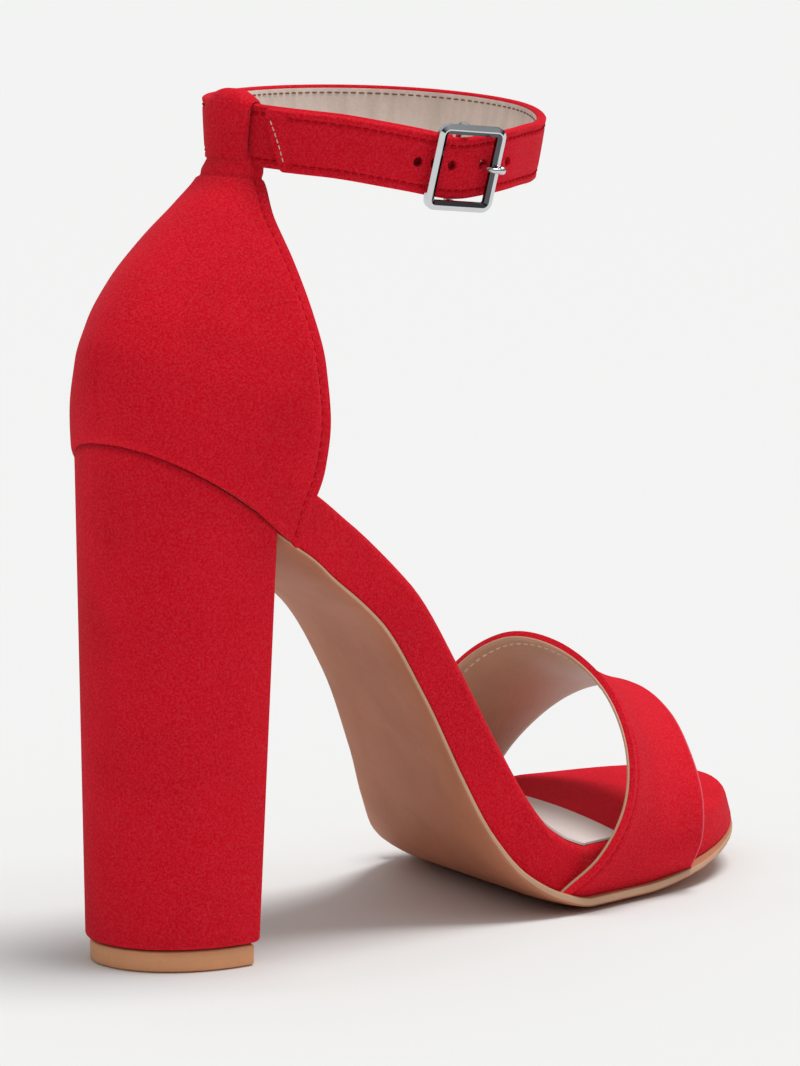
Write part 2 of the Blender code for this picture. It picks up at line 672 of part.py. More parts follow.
def buckle_bar(collection, parent):
    """Centre bar under the strap, its two ends turned up to the frame."""
    top = BUCKLE_LIFT - BAR_THICKNESS / 2.0 - GAP
    reach = CENTRE_BAR_REACH
    low = CENTRE_BAR_LIFT
    part = CENTRE_BAR_BEND / 4.0
    route = [(top, reach), (low + CENTRE_BAR_BEND, reach)]
    route += [(low + part, reach - part), (low, reach - CENTRE_BAR_BEND)]
    route += [(low, 0.0)] + [(lift, -rise) for lift, rise in route[::-1]]
    points = [buckle_point(0.0, lift, rise) for lift, rise in route]
    return wire("buckle_bar", points, CENTRE_BAR_RADIUS, collection, parent)


def buckle_prong(collection, parent):
    """Pin from the centre bar under the strap, up through a hole, and over the frame's front bar."""
    level = math.tan(math.radians(BUCKLE_TURN))
    points = [buckle_point(along, lift, along * level) for along, lift in PRONG]
    return wire("buckle_prong", points, PRONG_RADIUS, collection, parent)


def stand_on_origin(parent, pieces):
    """Moves the object's empty so that its box stands centred on the origin."""
    bpy.context.view_layer.update()
    shapes = bpy.context.evaluated_depsgraph_get()
    corners = [piece.evaluated_get(shapes).bound_box for piece in pieces]
    points = np.array(corners).reshape(-1, 3)
    middle = (points.min(axis=0) + points.max(axis=0)) / 2.0
    parent.location = (-middle[0], -middle[1], 0.0)


def build():
    for old in list(bpy.data.objects):
        bpy.data.objects.remove(old, do_unlink=True)
    collection = bpy.data.collections.new(OBJECT_NAME)
    cutters = bpy.data.collections.new(OBJECT_NAME + "_cutters")
    for group in (collection, cutters):
        bpy.context.scene.collection.children.link(group)
    parent = bpy.data.objects.new("last", None)
    collection.objects.link(parent)
    makers = (outsole, footbed, insole_sock, heel_block, heel_lift, heel_counter, strap_loop, vamp_strap,
              buckle_frame, buckle_bar, buckle_prong)
    pieces = [make(collection, parent) for make in makers]
    pieces.append(ankle_strap(collection, parent, cutters))
    stand_on_origin(parent, pieces)


build()
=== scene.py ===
"""Dresses a right block-heel sandal: suede uppers, linings, stitching, sole, heel and buckle.

Sizes in the tables are millimetres in the frame of the last: X from heel to toe, +Y medial, Z up,
with the origin on the floor under the heel's back. The heel lift gives that frame's place.
"""

import math

import bmesh
import bpy
import numpy as np
from bpy.props import FloatProperty, FloatVectorProperty, IntProperty, PointerProperty
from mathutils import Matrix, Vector


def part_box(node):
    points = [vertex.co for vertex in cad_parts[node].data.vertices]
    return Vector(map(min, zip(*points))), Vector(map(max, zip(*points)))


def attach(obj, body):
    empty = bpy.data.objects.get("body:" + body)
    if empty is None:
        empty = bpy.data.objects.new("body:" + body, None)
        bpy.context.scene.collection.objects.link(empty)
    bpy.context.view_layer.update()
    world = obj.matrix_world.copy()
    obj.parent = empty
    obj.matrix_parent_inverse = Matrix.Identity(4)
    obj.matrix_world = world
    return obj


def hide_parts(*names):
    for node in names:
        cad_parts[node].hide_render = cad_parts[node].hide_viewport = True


bl_info = {
    "name": "Ankle Strap Heel",
    "version": (1, 0, 0),
    "blender": (4, 5, 0),
    "location": "View3D > Sidebar > Sandal",
    "description": "Builds the finished pieces of a block-heel sandal around its fixed frame",
    "category": "Add Mesh",
}

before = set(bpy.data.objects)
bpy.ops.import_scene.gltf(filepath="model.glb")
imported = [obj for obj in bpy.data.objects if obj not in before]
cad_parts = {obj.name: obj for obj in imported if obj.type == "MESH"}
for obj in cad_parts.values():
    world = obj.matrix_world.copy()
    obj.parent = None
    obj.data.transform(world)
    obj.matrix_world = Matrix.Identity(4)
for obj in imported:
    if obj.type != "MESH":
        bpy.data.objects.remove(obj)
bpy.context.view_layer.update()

MM = 0.001
BODY = "root"


class Table:
    """Rows of named columns, read between rows by a smooth curve.

    The curve never overshoots a row, or, where the table is rounded, swings freely through its rows.
    """

    def __init__(self, columns, *rows, rounded=False):
        self.rounded = rounded
        values = np.array(rows, dtype=float).T
        self.at = values[0]
        self.stop = values[0][-1]
        self.columns = {name: (column, self.slopes(column)) for name, column in zip(columns.split(), values)}

    def slopes(self, column):
        step = np.diff(self.at)
        rise = np.diff(column) / step
        slope = np.concatenate((rise[:1], np.zeros(len(step) - 1), rise[-1:]))
        for i in range(1, len(step)):
            if self.rounded:
                slope[i] = (step[i] * rise[i - 1] + step[i - 1] * rise[i]) / (step[i - 1] + step[i])
            elif rise[i - 1] * rise[i] > 0.0:
                before = 2.0 * step[i] + step[i - 1]
                after = step[i] + 2.0 * step[i - 1]
                slope[i] = (before + after) / (before / rise[i - 1] + after / rise[i])
        return slope

    def __call__(self, name, at):
        column, slope = self.columns[name]
        at = np.asarray(at, dtype=float)
        i = np.clip(np.searchsorted(self.at, at) - 1, 0, len(self.at) - 2)
        step = self.at[i + 1] - self.at[i]
        t = (at - self.at[i]) / step
        value = column[i] * (1.0 + 2.0 * t) * (1.0 - t) ** 2 + column[i + 1] * t * t * (3.0 - 2.0 * t)
        return value + step * (slope[i] * t * (1.0 - t) ** 2 - slope[i + 1] * t * t * (1.0 - t))


# The sole's bearing line with its half widths, welt, oblique turn, thicknesses, flare and crown
SOLE = Table(
    "x       y     z    lateral medial welt skew thickness sheet flare crown",
    (-4.0,   0.0, 107.6, 19.2, 19.2, 0.3,  0.0, 10.5, 1.6,  0.6, -1.0),
    (0.0,    0.0, 105.0, 19.2, 19.2, 0.3,  0.0, 10.5, 1.6,  0.6, -1.0),
    (18.0,   0.0,  93.1, 19.2, 19.2, 0.3,  0.0, 11.8, 1.6,  0.6, -1.0),
    (36.0,  -0.2,  81.2, 20.2, 20.4, 0.3,  0.0, 12.6, 1.6,  0.6, -1.2),
    (50.0,  -0.5,  74.2, 20.2, 20.2, 0.3, 12.0, 11.2, 1.7,  0.4, -1.0),
    (64.0,  -0.4,  65.0, 20.8, 20.4, 0.3, 17.0, 10.0, 1.8,  0.2, -0.8),
    (77.6,   0.6,  48.0, 22.0, 21.0, 0.3, 18.0,  9.8, 1.8,  0.0, -0.5),
    (88.0,   2.2,  31.0, 24.6, 23.0, 0.4, 18.0, 10.4, 1.9,  0.0, -0.2),
    (96.0,   4.4,  19.0, 28.2, 25.6, 1.0, 18.0, 10.9, 2.0,  0.0,  0.2),
    (105.0,  6.6,  10.0, 32.0, 29.4, 2.0, 18.0, 10.8, 2.4,  0.0,  0.6),
    (115.0,  8.0,   5.0, 34.6, 32.8, 2.8, 18.0, 10.4, 2.8,  0.0,  1.0),
    (124.0,  8.6,   2.9, 35.2, 34.2, 3.1, 18.0, 10.2, 2.9,  0.0,  1.4),
    (140.0,  9.6,   2.9, 34.6, 33.6, 3.1, 17.0, 10.2, 2.9,  0.0,  1.8),
    (154.0, 10.4,   4.4, 34.0, 32.2, 3.0, 13.0,  9.7, 2.5, -0.4,  1.6),
    (168.0, 11.6,   7.0, 32.8, 30.4, 1.2,  6.0,  7.6, 2.0, -0.8,  0.9),
    (188.0, 13.5,  11.0, 29.6, 27.0, -0.4, 0.0,  5.2, 1.5, -1.0,  0.4),
)

# The heel's D sections, from the lift up to the seat
HEEL = Table(
    "rise   width back front rounding",
    (0.0,   36.4, 2.9, 26.8, 22.0),
    (1.0,   43.6, 2.4, 28.4, 24.4),
)

# Inner face of the counter at levels from the heel seat up to the neck and on into the loop
COUNTER = Table(
    "level  back_x back_z front_x front_z half_width round_part fullness",
    (-0.2,   3.3, 103.5, 33.4,  83.1, 21.0, 0.71, 0.95),
    (0.0,    3.2, 104.6, 33.4,  83.2, 21.2, 0.72, 0.90),
    (1.0,    2.5, 110.0, 33.6,  90.0, 23.8, 0.78, 0.50),
    (2.0,    2.0, 115.0, 34.0,  98.0, 27.0, 0.84, 0.06),
    (3.0,    2.4, 120.5, 33.8, 107.5, 28.6, 0.88, -0.20),
    (4.0,    5.2, 127.0, 33.6, 117.5, 27.6, 0.90, -0.26),
    (5.0,   10.8, 134.0, 33.6, 127.5, 24.0, 0.90, -0.22),
    (6.0,   18.6, 141.0, 34.4, 137.0, 18.0, 0.90, -0.10),
    (7.0,   26.6, 147.2, 36.0, 145.2, 11.2, 0.90, 0.20),
    (8.0,   31.8, 151.2, 38.4, 150.2,  8.3, 0.90, 0.55),
    (9.0,   34.0, 153.6, 39.6, 153.2,  7.0, 0.90, 0.90),
    (10.0,  37.2, 158.6, 41.4, 158.2,  5.4, 0.90, 0.90),
)

# Inner face of the forefoot strap around the foot, from its lateral to its medial foot
VAMP = Table(
    "turn  rear_x rear_y rear_z front_x front_y front_z swell sag",
    (0.00, 105.6, -25.8,  5.7, 145.2, -22.9,  5.3, 0.4, 1.2),
    (0.08, 111.7, -28.8, 11.2, 144.2, -26.7, 11.0, 0.9, 0.5),
    (0.18, 118.0, -30.0, 20.5, 145.9, -25.5, 18.2, 1.3, 0.0),
    (0.30, 124.2, -25.0, 32.0, 149.3, -19.2, 26.0, 1.4, 0.0),
    (0.42, 129.0, -13.8, 42.4, 155.2,  -8.2, 32.4, 1.5, 0.0),
    (0.54, 131.6,   1.8, 48.7, 161.2,   6.0, 35.6, 1.6, 0.0),
    (0.66, 132.6,  17.8, 48.5, 164.4,  20.8, 34.9, 1.6, 0.0),
    (0.78, 131.8,  32.0, 39.2, 162.6,  33.0, 28.4, 1.4, 0.0),
    (0.89, 129.6,  41.6, 23.0, 158.4,  41.4, 18.0, 1.2, 0.0),
    (0.95, 127.6,  43.4, 13.2, 155.2,  43.0, 11.6, 0.9, 0.3),
    (1.00, 125.4,  42.7,  5.9, 152.2,  42.1,  4.6, 0.4, 1.2),
    rounded=True,
)

# Height and outward lean of the ankle ring around its oval
RING = Table(
    "angle  height lean",
    (0.0,    161.9,  0.0),
    (40.0,   160.0,  6.0),
    (85.0,   155.9, 10.0),
    (120.0,  156.0, 10.0),
    (165.0,  158.1, 10.0),
    (220.0,  159.8,  8.0),
    (300.0,  161.1,  4.0),
    (360.0,  161.9,  0.0),
)

# Course of the prong in the buckle's flat frame: along the strap, and outward from the ring's middle
PRONG = (
    (1.25, 0.1),
    (2.4, -0.1),
    (4.4, 0.0),
    (4.85, 0.6),
    (4.85, 5.0),
    (5.4, 6.15),
    (6.3, 6.48),
    (8.2, 6.40),
)

# Walls, edges and seams
GAP = 0.3
LINING = 0.55
SUEDE_EDGE = 0.6
# pale worn cut edge of the suede, with a painted highlight along it
EDGE_WEAR_AND_HIGHLIGHT = "edge_wear_and_highlight"
EDGE_PLACES = np.concatenate(((0.0,), np.arange(1.0, 5.6, 0.35)))  # distances from a panel's edge
SEAM_FROM_EDGE = 1.7
THREAD_SHOWN = 0.6

# Outsole, footbed and sock
FOOTBED_BACK = 4.4
TOE_TIP = 186.0
HEEL_ROUND = 21.0
TOE_ROUND = 44.0
END_POWER = 2.2
END_TURNS = np.radians((1.5, 4.0, 7.0, *np.arange(10.0, 80.0, 5.0)))  # of the sections in a round end
SEAT_END = 30.0
SHANK_START = 56.0
OUTSOLE_BACK = 29.2
OUTSOLE_EDGE = 0.35
OUTSOLE_POINTS = 33
# pale cut edge along the top of the sole's side, partly a painted highlight
OUTSOLE_RIM_HIGHLIGHT = ((35, 38, 1), (45, 48, 1))  # bands of columns: first, last, finish
EDGE_BREAK = 0.3
# height share of the sole's side where its pale rim with painted highlight begins
RIM_HIGHLIGHT_SHARE = 0.8
TREAD_FLAT = 0.6
TREAD_ROLL = 0.4
FOOTBED_TOP_RADIUS = 2.0
FOOTBED_LOW_RADIUS = 0.6
SOCK_INSET = (3.4, 1.2)  # at the heel and at the ball
SOCK_WIDENS = (98.0, 116.0)  # where its inset starts and stops to change
SOCK_FRONT = 136.0
SOCK_SHOWN = 0.45
SOCK_GAP = 0.05
SOCK_POINTS = 25
SOCK_CRISP = 40.0

# Heel and lift
LIFT_THICKNESS = 4.2
LIFT_INSET = 0.8
LIFT_EDGE = 0.4
LIFT_RINGS = (1.4, 2.8)
HEEL_POWER = 2.15
HEEL_EDGE = 0.9
HEEL_MIDDLE = 15.0
HEEL_SECTIONS = 60
HEEL_POINTS = 73
BREAST_RADIUS = 1.3
BREAST_POINTS = 11

# Counter and forefoot strap
ROUND_SHARE = 0.84
SEAT_TUCK = 0.02
SEAT_TURN = (0.9, 0.045)  # depth and reach of the turned-in lower edge
BACK_SEAM_STARTS = (0.02, 0.10)  # heights where it fades in
BACK_SEAM_ENDS = (0.22, 0.48)  # heights where it fades out
BACK_SEAM_WIDTH = 0.6
NECK_TRIM = 2.6
NECK_LEVELS = (6.5, 9.0)
NECK_PINCH = (0.868, 0.022, 0.5)  # height, spread and depth
NECK_SEWN = 0.90
INSIDE_COUNTER = (25.0, 0.0, 118.0)
COUNTER_POINTS = 150
VAMP_TUCK = (0.025, 0.008)  # past its lateral and its medial foot
VAMP_LIPS = (0.05, 0.2)  # of the lining at the rear and the front edge
# the forefoot strap's front edge is pale where worn and carries a painted highlight
VAMP_WEAR_AND_HIGHLIGHT = (0.0, 1.0)  # of the suede at the rear and the front edge
VAMP_UNSEWN = 10
INSIDE_VAMP = (140.0, 8.0, 12.0)
VAMP_POINTS = 60

# Ankle strap and its loop
RING_CENTRE = (73.2, -0.5)
RING_HALF = (35.0, 30.2)
RING_EGG = 0.18
RING_DEGREE = math.radians(1.0) * RING_HALF[1]
BUCKLE_ANGLE = 82.4
BASE_END_ANGLE = BUCKLE_ANGLE - 1.9
STRAP_LINED = ((48, 60, 1),)  # band of columns on the inner face
STRAP_ROLL = 0.75
STRAP_CROWN = 0.12
STRAP_SEAM = (0.8, 0.4)  # share of a seam's depth, and width
STRAP_SEWN_DEPTH = 0.4
STRAP_POINTS = (41, 13)  # across the outer and the inner face
STRAP_SECTIONS = (380, 20)  # along the run and in the tip
STRAP_SETTLE = 0.8
STRAP_SETTLE_SPREAD = 10.0
TAIL_LIFT = 2.4
TAIL_RISE = (35.0, 9.0)  # degrees short of the buckle where the tail's rise starts and stops
TIP_ANGLE = 20.0 - 360.0  # the strap runs from the buckle to smaller angles, more than once round
TIP_LENGTH = 6.0
TIP_START = TIP_ANGLE + TIP_LENGTH / RING_DEGREE
TIP_SLANT = 4.0
TIP_CORNER = 1.1
TIP_SEAM = (3.4, 0.5)  # distance from the tip, and width
TIP_UNSEWN = 4.0
TIP_STITCHED = 2.4
TIP_STITCH_LEAN = 1.5
TIP_STITCH_INSET = 1.0
HOLE_SPACING = 6.6
HOLE_OFFSET = 1.3
HOLE_COUNT = 4
PUNCH_EXCESS = 0.6
LOOP_REACH = (-8.0, 4.8)  # along the strap from the ring's back
LOOP_SLACK = 0.15
LOOP_ROLL = 1.05
LOOP_PUFF = 1.1
LOOP_ROUNDING = (0.80, 0.56)  # powers outward and upward
LOOP_DOME = 2.0
LOOP_DROP = 1.6
LOOP_POINTS = 25
LOOP_SECTIONS = 96

# Buckle
BUCKLE_CORNER = 1.3
BUCKLE_LIFT = 4.7
BUCKLE_TURN = 4.0
BUCKLE_LEAN = 3.0
# the buckle frame's inner slopes take a painted dark reflection
FRAME_PAINTED_REFLECTION = ((3, 5, 1),)  # band of columns on the inner slope
FRAME_CRISP = 14.0
CENTRE_BAR_RADIUS = 0.65
CENTRE_BAR_LIFT = 0.1
CENTRE_BAR_REACH = 7.7
CENTRE_BAR_BEND = 0.8
PRONG_BALL = 0.85

# Suede nap and leather grain: each range of a texture, and the share of a second tone that it brings in
BRUSHED = (0.42, 0.72, 0.0, 0.35)
CLUMPED = (0.62, 0.30, 0.0, 0.11)
TIPPED = (0.40, 0.74, 0.0, 0.24)
# pale worn edge that also carries a painted edge highlight
RUBBED_AND_HIGHLIGHT = (0.45, 0.85)
NAP_ROUGHNESS = (0.3, 0.7, 0.82, 0.96)
MOTTLED = (0.40, 0.78, 0.0, 0.5)
PORED = (0.45, 0.9, 0.0, 0.22)
# upright streaks of painted shade standing in for the lining's pleats
PLEAT_SHADE_RANGE = (0.45, 0.7)
PLEAT_SHADE_STRETCH = (1.0, 1.0, 0.05)
BOUNCED_TONE = (0.42, 0.13, 0.13, 1.0)
BLANK = (0.5, 0.5, 0.5, 1.0)

# Grained finishes: colour, pebbles per metre, roughness from and to, relief, gloss, upright streaks of
# painted pleat shade, shade of pores
GRAINED = {
    "tan_lining": ("lining", 1500.0, 0.32, 0.46, 0.2, 0.4, 0.0, 0.72),
    # the strap lining carries painted pleat shade
    "strap_lining": ("strap_lining", 1600.0, 0.42, 0.58, 0.25, 0.25, 0.6, 0.72),
    "smooth_sock": ("sock", 1300.0, 0.38, 0.5, 0.2, 0.25, 0.0, 0.9),
    "satin_sole": ("sole", 900.0, 0.50, 0.64, 0.12, 0.15, 0.0, 0.72),
    # pale cut edge of the outsole with a painted highlight
    "sole_rim_highlight": ("rim_highlight", 1800.0, 0.5, 0.62, 0.2, 0.25, 0.0, 0.72),
    "tan_lift": ("lift", 1200.0, 0.4, 0.55, 0.15, 0.25, 0.0, 0.72),
    "red_thread": ("thread", 3200.0, 0.75, 0.9, 0.4, 0.03, 0.0, 0.72),
    "pale_thread": ("pale_thread", 3200.0, 0.55, 0.7, 0.4, 0.25, 0.0, 0.72),
    "dark_thread": ("dark_thread", 3200.0, 0.55, 0.7, 0.4, 0.25, 0.0, 0.72),
}
# the second plated finish is a painted dark reflection for the buckle's inner slopes
PLATED = {"polished_metal": "metal", "painted_reflection_metal": "dark_reflection_paint"}

# Light: the dome's heights with their tones, and the key light's tint and course
DOME_RAMP = ((0.14, (0.06, 0.06, 0.065, 1.0)), (0.52, (0.97, 1.0, 1.01, 1.0)))
KEY_TINT = (1.0, 0.985, 0.975)
KEY_COURSE = (-0.22, 0.16, -1.0)
FLOOR_HALF = 30.0
FLOOR_DROP = 0.0001

LIFT_LOW, LIFT_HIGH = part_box("heel_lift")
LIFT_BACK = HEEL("back", 0.0) + LIFT_INSET
ORIGIN = np.array((LIFT_LOW.x - LIFT_BACK * MM, (LIFT_LOW.y + LIFT_HIGH.y) / 2.0, 0.0))


def length(label, words, value):
    return FloatProperty(name=label, description=words, default=value, unit="LENGTH")


def colour(label, words, value):
    return FloatVectorProperty(name=label, description=words, default=value, subtype="COLOR",
                               size=3, min=0.0, max=1.0)


class SandalSizes(bpy.types.PropertyGroup):
    """Sizes of the finished pieces."""

    wall: length("Upper wall", "Thickness of counter and forefoot strap", 0.0018)
    strap_width: length("Strap width", "Width of the ankle strap", 0.0124)
    strap_thickness: length("Strap thickness", "Thickness of the ankle strap", 0.002)
    hole_radius: length("Hole radius", "Radius of the punched holes", 0.0010)
    stitch_length: length("Stitch length", "Length of one stitch", 0.0015)
    stitch_pitch: length("Stitch pitch", "Distance from stitch to stitch", 0.0021)
    thread_radius: length("Thread radius", "Radius of the sewing thread", 0.00022)
    seam_inset: length("Seam inset", "Distance of a seam from its edge", 0.0022)
    seam_depth: length("Seam depth", "How deep a seam pulls into the suede", 0.00042)
    buckle_length: length("Buckle length", "Outer length along the strap", 0.0154)
    buckle_height: length("Buckle height", "Outer height across the strap", 0.0174)
    bar_width: length("Bar width", "Width of the buckle's bars", 0.0019)
    bar_thickness: length("Bar thickness", "Thickness of the buckle's bars", 0.0017)
    prong_radius: length("Prong radius", "Radius of the buckle's prong", 0.00055)
    panel_lines: IntProperty(name="Panel lines", description="Lines across a suede panel", default=110)


class SandalColours(bpy.types.PropertyGroup):
    """Colours of the finishes."""

    red: colour("Suede", "Middle red of the suede", (0.77, 0.0058, 0.0185))
    red_lit: colour("Suede lit", "Fibre tips that catch the light", (0.97, 0.110, 0.165))
    red_deep: colour("Suede deep", "Nap brushed away from the light", (0.50, 0.0035, 0.011))
    # pale worn cut edge with a painted edge highlight
    red_worn_highlight: colour("Suede worn", "Pale cut edge with rubbed nap and a painted highlight", (0.82, 0.130, 0.165))
    thread: colour("Thread", "Sewing thread of the uppers", (0.62, 0.006, 0.016))
    dark_thread: colour("Dark thread", "Sewing thread on the strap's lining", (0.26, 0.12, 0.08))
    pale_thread: colour("Pale thread", "Sewing thread on linings and at the strap's tip", (0.80, 0.62, 0.50))
    lining: colour("Lining", "Lining of the uppers", (0.60, 0.34, 0.22))
    strap_lining: colour("Strap lining", "Lining of the ankle strap", (0.950, 0.780, 0.680))
    sock: colour("Sock", "Pale sock of the footbed", (0.83, 0.74, 0.71))
    sole: colour("Sole", "Tan outsole", (0.576, 0.224, 0.122))
    # pale cut edge of the outsole with a painted highlight along its top
    rim_highlight: colour("Sole rim", "Pale cut edge of the outsole with a painted highlight", (0.68, 0.42, 0.27))
    lift: colour("Lift", "Top piece under the heel", (0.924, 0.434, 0.213))
    metal: colour("Metal", "Polished buckle", (0.66, 0.67, 0.69))
    # painted dark reflection on the buckle frame's inner slopes
    dark_reflection_paint: colour("Dark metal", "Painted dark reflection on the inner slopes of the buckle", (0.10, 0.10, 0.11))


class SandalStage(bpy.types.PropertyGroup):
    """Camera, lights and floor."""

    camera_place: FloatVectorProperty(name="Camera place", description="Camera in the frame of the last",
                                      default=(-1.0065, -1.0605, 0.2932), subtype="XYZ", unit="LENGTH")
    camera_aim: FloatVectorProperty(name="Camera aim", description="Point that the camera looks at",
                                    default=(0.0300, -0.0527, 0.0885), subtype="XYZ", unit="LENGTH")
    lens: FloatProperty(name="Lens", description="Focal length in millimetres", default=257.4)
    floor: colour("Floor", "Pale floor", (0.859, 0.863, 0.854))
    dome: FloatProperty(name="Dome", description="Strength of the light from all round", default=0.54)
    key: FloatProperty(name="Key", description="Strength of the soft key light", default=1.93)
    key_angle: FloatProperty(name="Key size", description="Apparent size of the key light",
                             default=math.radians(30.0), subtype="ANGLE")


def sizes():
    return bpy.context.scene.sandal_sizes


def in_mm(name):
    """A size from the panel in millimetres."""
    return getattr(sizes(), name) / MM


def row_frame(points):
    """Points of the last's frame, in millimetres, as metres in the frame of the model."""
    return np.asarray(points, dtype=float) * MM + ORIGIN


def smooth_step(low, high, at):
    t = np.clip((at - low) / (high - low), 0.0, 1.0)
    return t * t * (3.0 - 2.0 * t)


def signed_power(value, power):
    return math.copysign(abs(value) ** power, value)


def unit(vectors):
    return vectors / np.linalg.norm(vectors, axis=-1, keepdims=True)


def run_length(points):
    """Distances along a line of points from its first one."""
    return np.concatenate(((0.0,), np.cumsum(np.linalg.norm(np.diff(points, axis=0), axis=1))))


def between(places, place, points):
    """Points read off a line at places along it."""
    return np.stack([np.interp(places, place, points[:, i]) for i in range(3)], axis=-1)


def turned(first, second, degrees):
    """Two directions at right angles, turned in their plane."""
    turn = math.radians(degrees)
    return first * math.cos(turn) - second * math.sin(turn), second * math.cos(turn) + first * math.sin(turn)


def add_object(name, data):
    made = bpy.data.objects.new(name, data)
    bpy.context.scene.collection.objects.link(made)
    return made


def as_mesh(name, shape):
    """A mesh made from a worked shape, which is freed."""
    mesh = bpy.data.meshes.new(name)
    shape.to_mesh(mesh)
    shape.free()
    return mesh


def quad_mesh(name, points, wrap=False, capped=False, closed=False):
    """Quads over rows of points: wrap joins the columns' ends, closed joins the last row to the first."""
    points = np.asarray(points, dtype=float)
    rows, columns = points.shape[:2]
    index = np.arange(rows * columns).reshape(rows, columns)
    if closed:
        index = np.concatenate((index, index[:1]))
    if wrap:
        index = np.concatenate((index, index[:, :1]), axis=1)
    corners = (index[:-1, :-1], index[:-1, 1:], index[1:, 1:], index[1:, :-1])
    faces = np.stack(corners, axis=-1).reshape(-1, 4).tolist()
    if capped:
        ring = np.arange(rows * columns).reshape(rows, columns)
        faces += [ring[0].tolist(), ring[-1].tolist()]
    mesh = bpy.data.meshes.new(name)
    mesh.from_pydata(row_frame(points.reshape(-1, 3)).tolist(), [], faces)
    return mesh


def turned_out(mesh):
    """Merges the doubled points of a closed mesh and turns its faces outward."""
    work = bmesh.new()
    work.from_mesh(mesh)
    bmesh.ops.remove_doubles(work, verts=work.verts, dist=1.0e-7)
    bmesh.ops.recalc_face_normals(work, faces=work.faces)
    work.to_mesh(mesh)
    work.free()
    return mesh


def add_piece(name, mesh, finishes, nodes=()):
    """A smooth piece with its finishes that rides with the shoe and stands for its solids."""
    mesh.shade_smooth()
    for finish in finishes:
        mesh.materials.append(finish_of(finish))
    piece = add_object(name, mesh)
    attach(piece, BODY)
    if nodes:
        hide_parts(*nodes)
    return piece


def paint_columns(mesh, columns, bands):
    """Gives the quads in bands of columns their own material; bands are (first, last, index)."""
    index = np.zeros(len(mesh.polygons), dtype=np.int32)
    column = np.arange(len(mesh.polygons)) % columns
    for first, last, number in bands:
        index[(column >= first) & (column < last)] = number
    mesh.polygons.foreach_set("material_index", index)


def add_rings(name, rings, finishes, node, bands=(), closed=False):
    """A solid piece over rings of points, its ends capped or its last ring joined to the first."""
    mesh = quad_mesh(name, rings, wrap=True, capped=not closed, closed=closed)
    paint_columns(mesh, len(rings[0]), bands)
    return add_piece(name, turned_out(mesh), finishes, (node,))


def soften(piece, width, segments=3):
    """Rounds the sharp edges of a piece."""
    edge = piece.modifiers.new("edge", "BEVEL")
    edge.width = width * MM
    edge.segments = segments
    edge.limit_method = "ANGLE"
    edge.angle_limit = math.radians(50.0)


def crisp(piece, angle):
    """Keeps the edges sharp where faces meet at more than an angle."""
    piece.data.set_sharp_from_angle(angle=math.radians(angle))


def add_node(tree, kind, inputs, **settings):
    """A shader node with its settings, whose inputs are linked to other sockets or set to plain values."""
    node = tree.nodes.new(kind)
    for name, value in settings.items():
        setattr(node, name, value)
    for socket, value in inputs.items():
        if isinstance(value, bpy.types.NodeSocket):
            tree.links.new(value, node.inputs[socket])
        else:
            node.inputs[socket].default_value = value
    return node


def noise(tree, place, scale, detail, roughness=0.55, distortion=0.0):
    """A noise texture at a place, with its scale in features per metre."""
    inputs = {"Vector": place, "Scale": scale, "Detail": detail, "Roughness": roughness,
              "Distortion": distortion}
    return add_node(tree, "ShaderNodeTexNoise", inputs).outputs["Fac"]


def remap(tree, value, low, high, start=0.0, stop=1.0):
    """A value stretched from one range to another and held at its ends."""
    inputs = {"Value": value, "From Min": low, "From Max": high, "To Min": start, "To Max": stop}
    return add_node(tree, "ShaderNodeMapRange", inputs).outputs["Result"]


def mix_colour(tree, factor, first, second):
    inputs = {0: factor, 6: first, 7: second}
    return add_node(tree, "ShaderNodeMix", inputs, data_type="RGBA").outputs[2]


def compute(tree, operation, *values):
    return add_node(tree, "ShaderNodeMath", dict(enumerate(values)), operation=operation).outputs[0]


def node_group(name, inputs):
    """A new shader group with its sockets; returns it with what enters it, what leaves it and the place."""
    group = bpy.data.node_groups.new(name, "ShaderNodeTree")
    for label, value in inputs.items():
        kind = "NodeSocketColor" if value is BLANK else "NodeSocketFloat"
        group.interface.new_socket(label, in_out="INPUT", socket_type=kind).default_value = value
    for label, kind in (("Color", "Color"), ("Roughness", "Float"), ("Height", "Float")):
        group.interface.new_socket(label, in_out="OUTPUT", socket_type="NodeSocket" + kind)
    enter = group.nodes.new("NodeGroupInput").outputs
    leave = group.nodes.new("NodeGroupOutput").inputs
    return group, enter, leave, group.nodes.new("ShaderNodeTexCoord").outputs["Object"]


def suede_group():
    """Nap of suede: fine fibres over broad brush marks, rubbed off and pale at worn edges, which also carry a
    painted edge highlight.
    """
    name = "Suede nap"
    if name in bpy.data.node_groups:
        return bpy.data.node_groups[name]
    group, enter, leave, place = node_group(name, {
        "Red": BLANK, "Lit": BLANK, "Deep": BLANK, "Worn Highlight": BLANK,
        "Fibre Scale": 2300.0, "Clump Scale": 900.0, "Brush Scale": 45.0})
    fibre = noise(group, place, enter["Fibre Scale"], 2.0, 0.6)
    clump = noise(group, place, enter["Clump Scale"], 3.0, 0.6, 0.4)
    brush = noise(group, place, enter["Brush Scale"], 3.0, 0.5, 0.8)
    # pale worn edge with a painted highlight, read from the panel's edge attribute
    edge = add_node(group, "ShaderNodeAttribute", {}, attribute_name=EDGE_WEAR_AND_HIGHLIGHT).outputs["Fac"]
    tone = enter["Red"]
    for texture, reach, second in ((brush, BRUSHED, "Deep"), (clump, CLUMPED, "Deep"),
                                   (fibre, TIPPED, "Lit"), (edge, RUBBED_AND_HIGHLIGHT, "Worn Highlight")):
        tone = mix_colour(group, remap(group, texture, *reach), tone, enter[second])
    group.links.new(tone, leave["Color"])
    group.links.new(remap(group, clump, *NAP_ROUGHNESS), leave["Roughness"])
    group.links.new(compute(group, "MULTIPLY_ADD", clump, 0.6, fibre), leave["Height"])
    return group


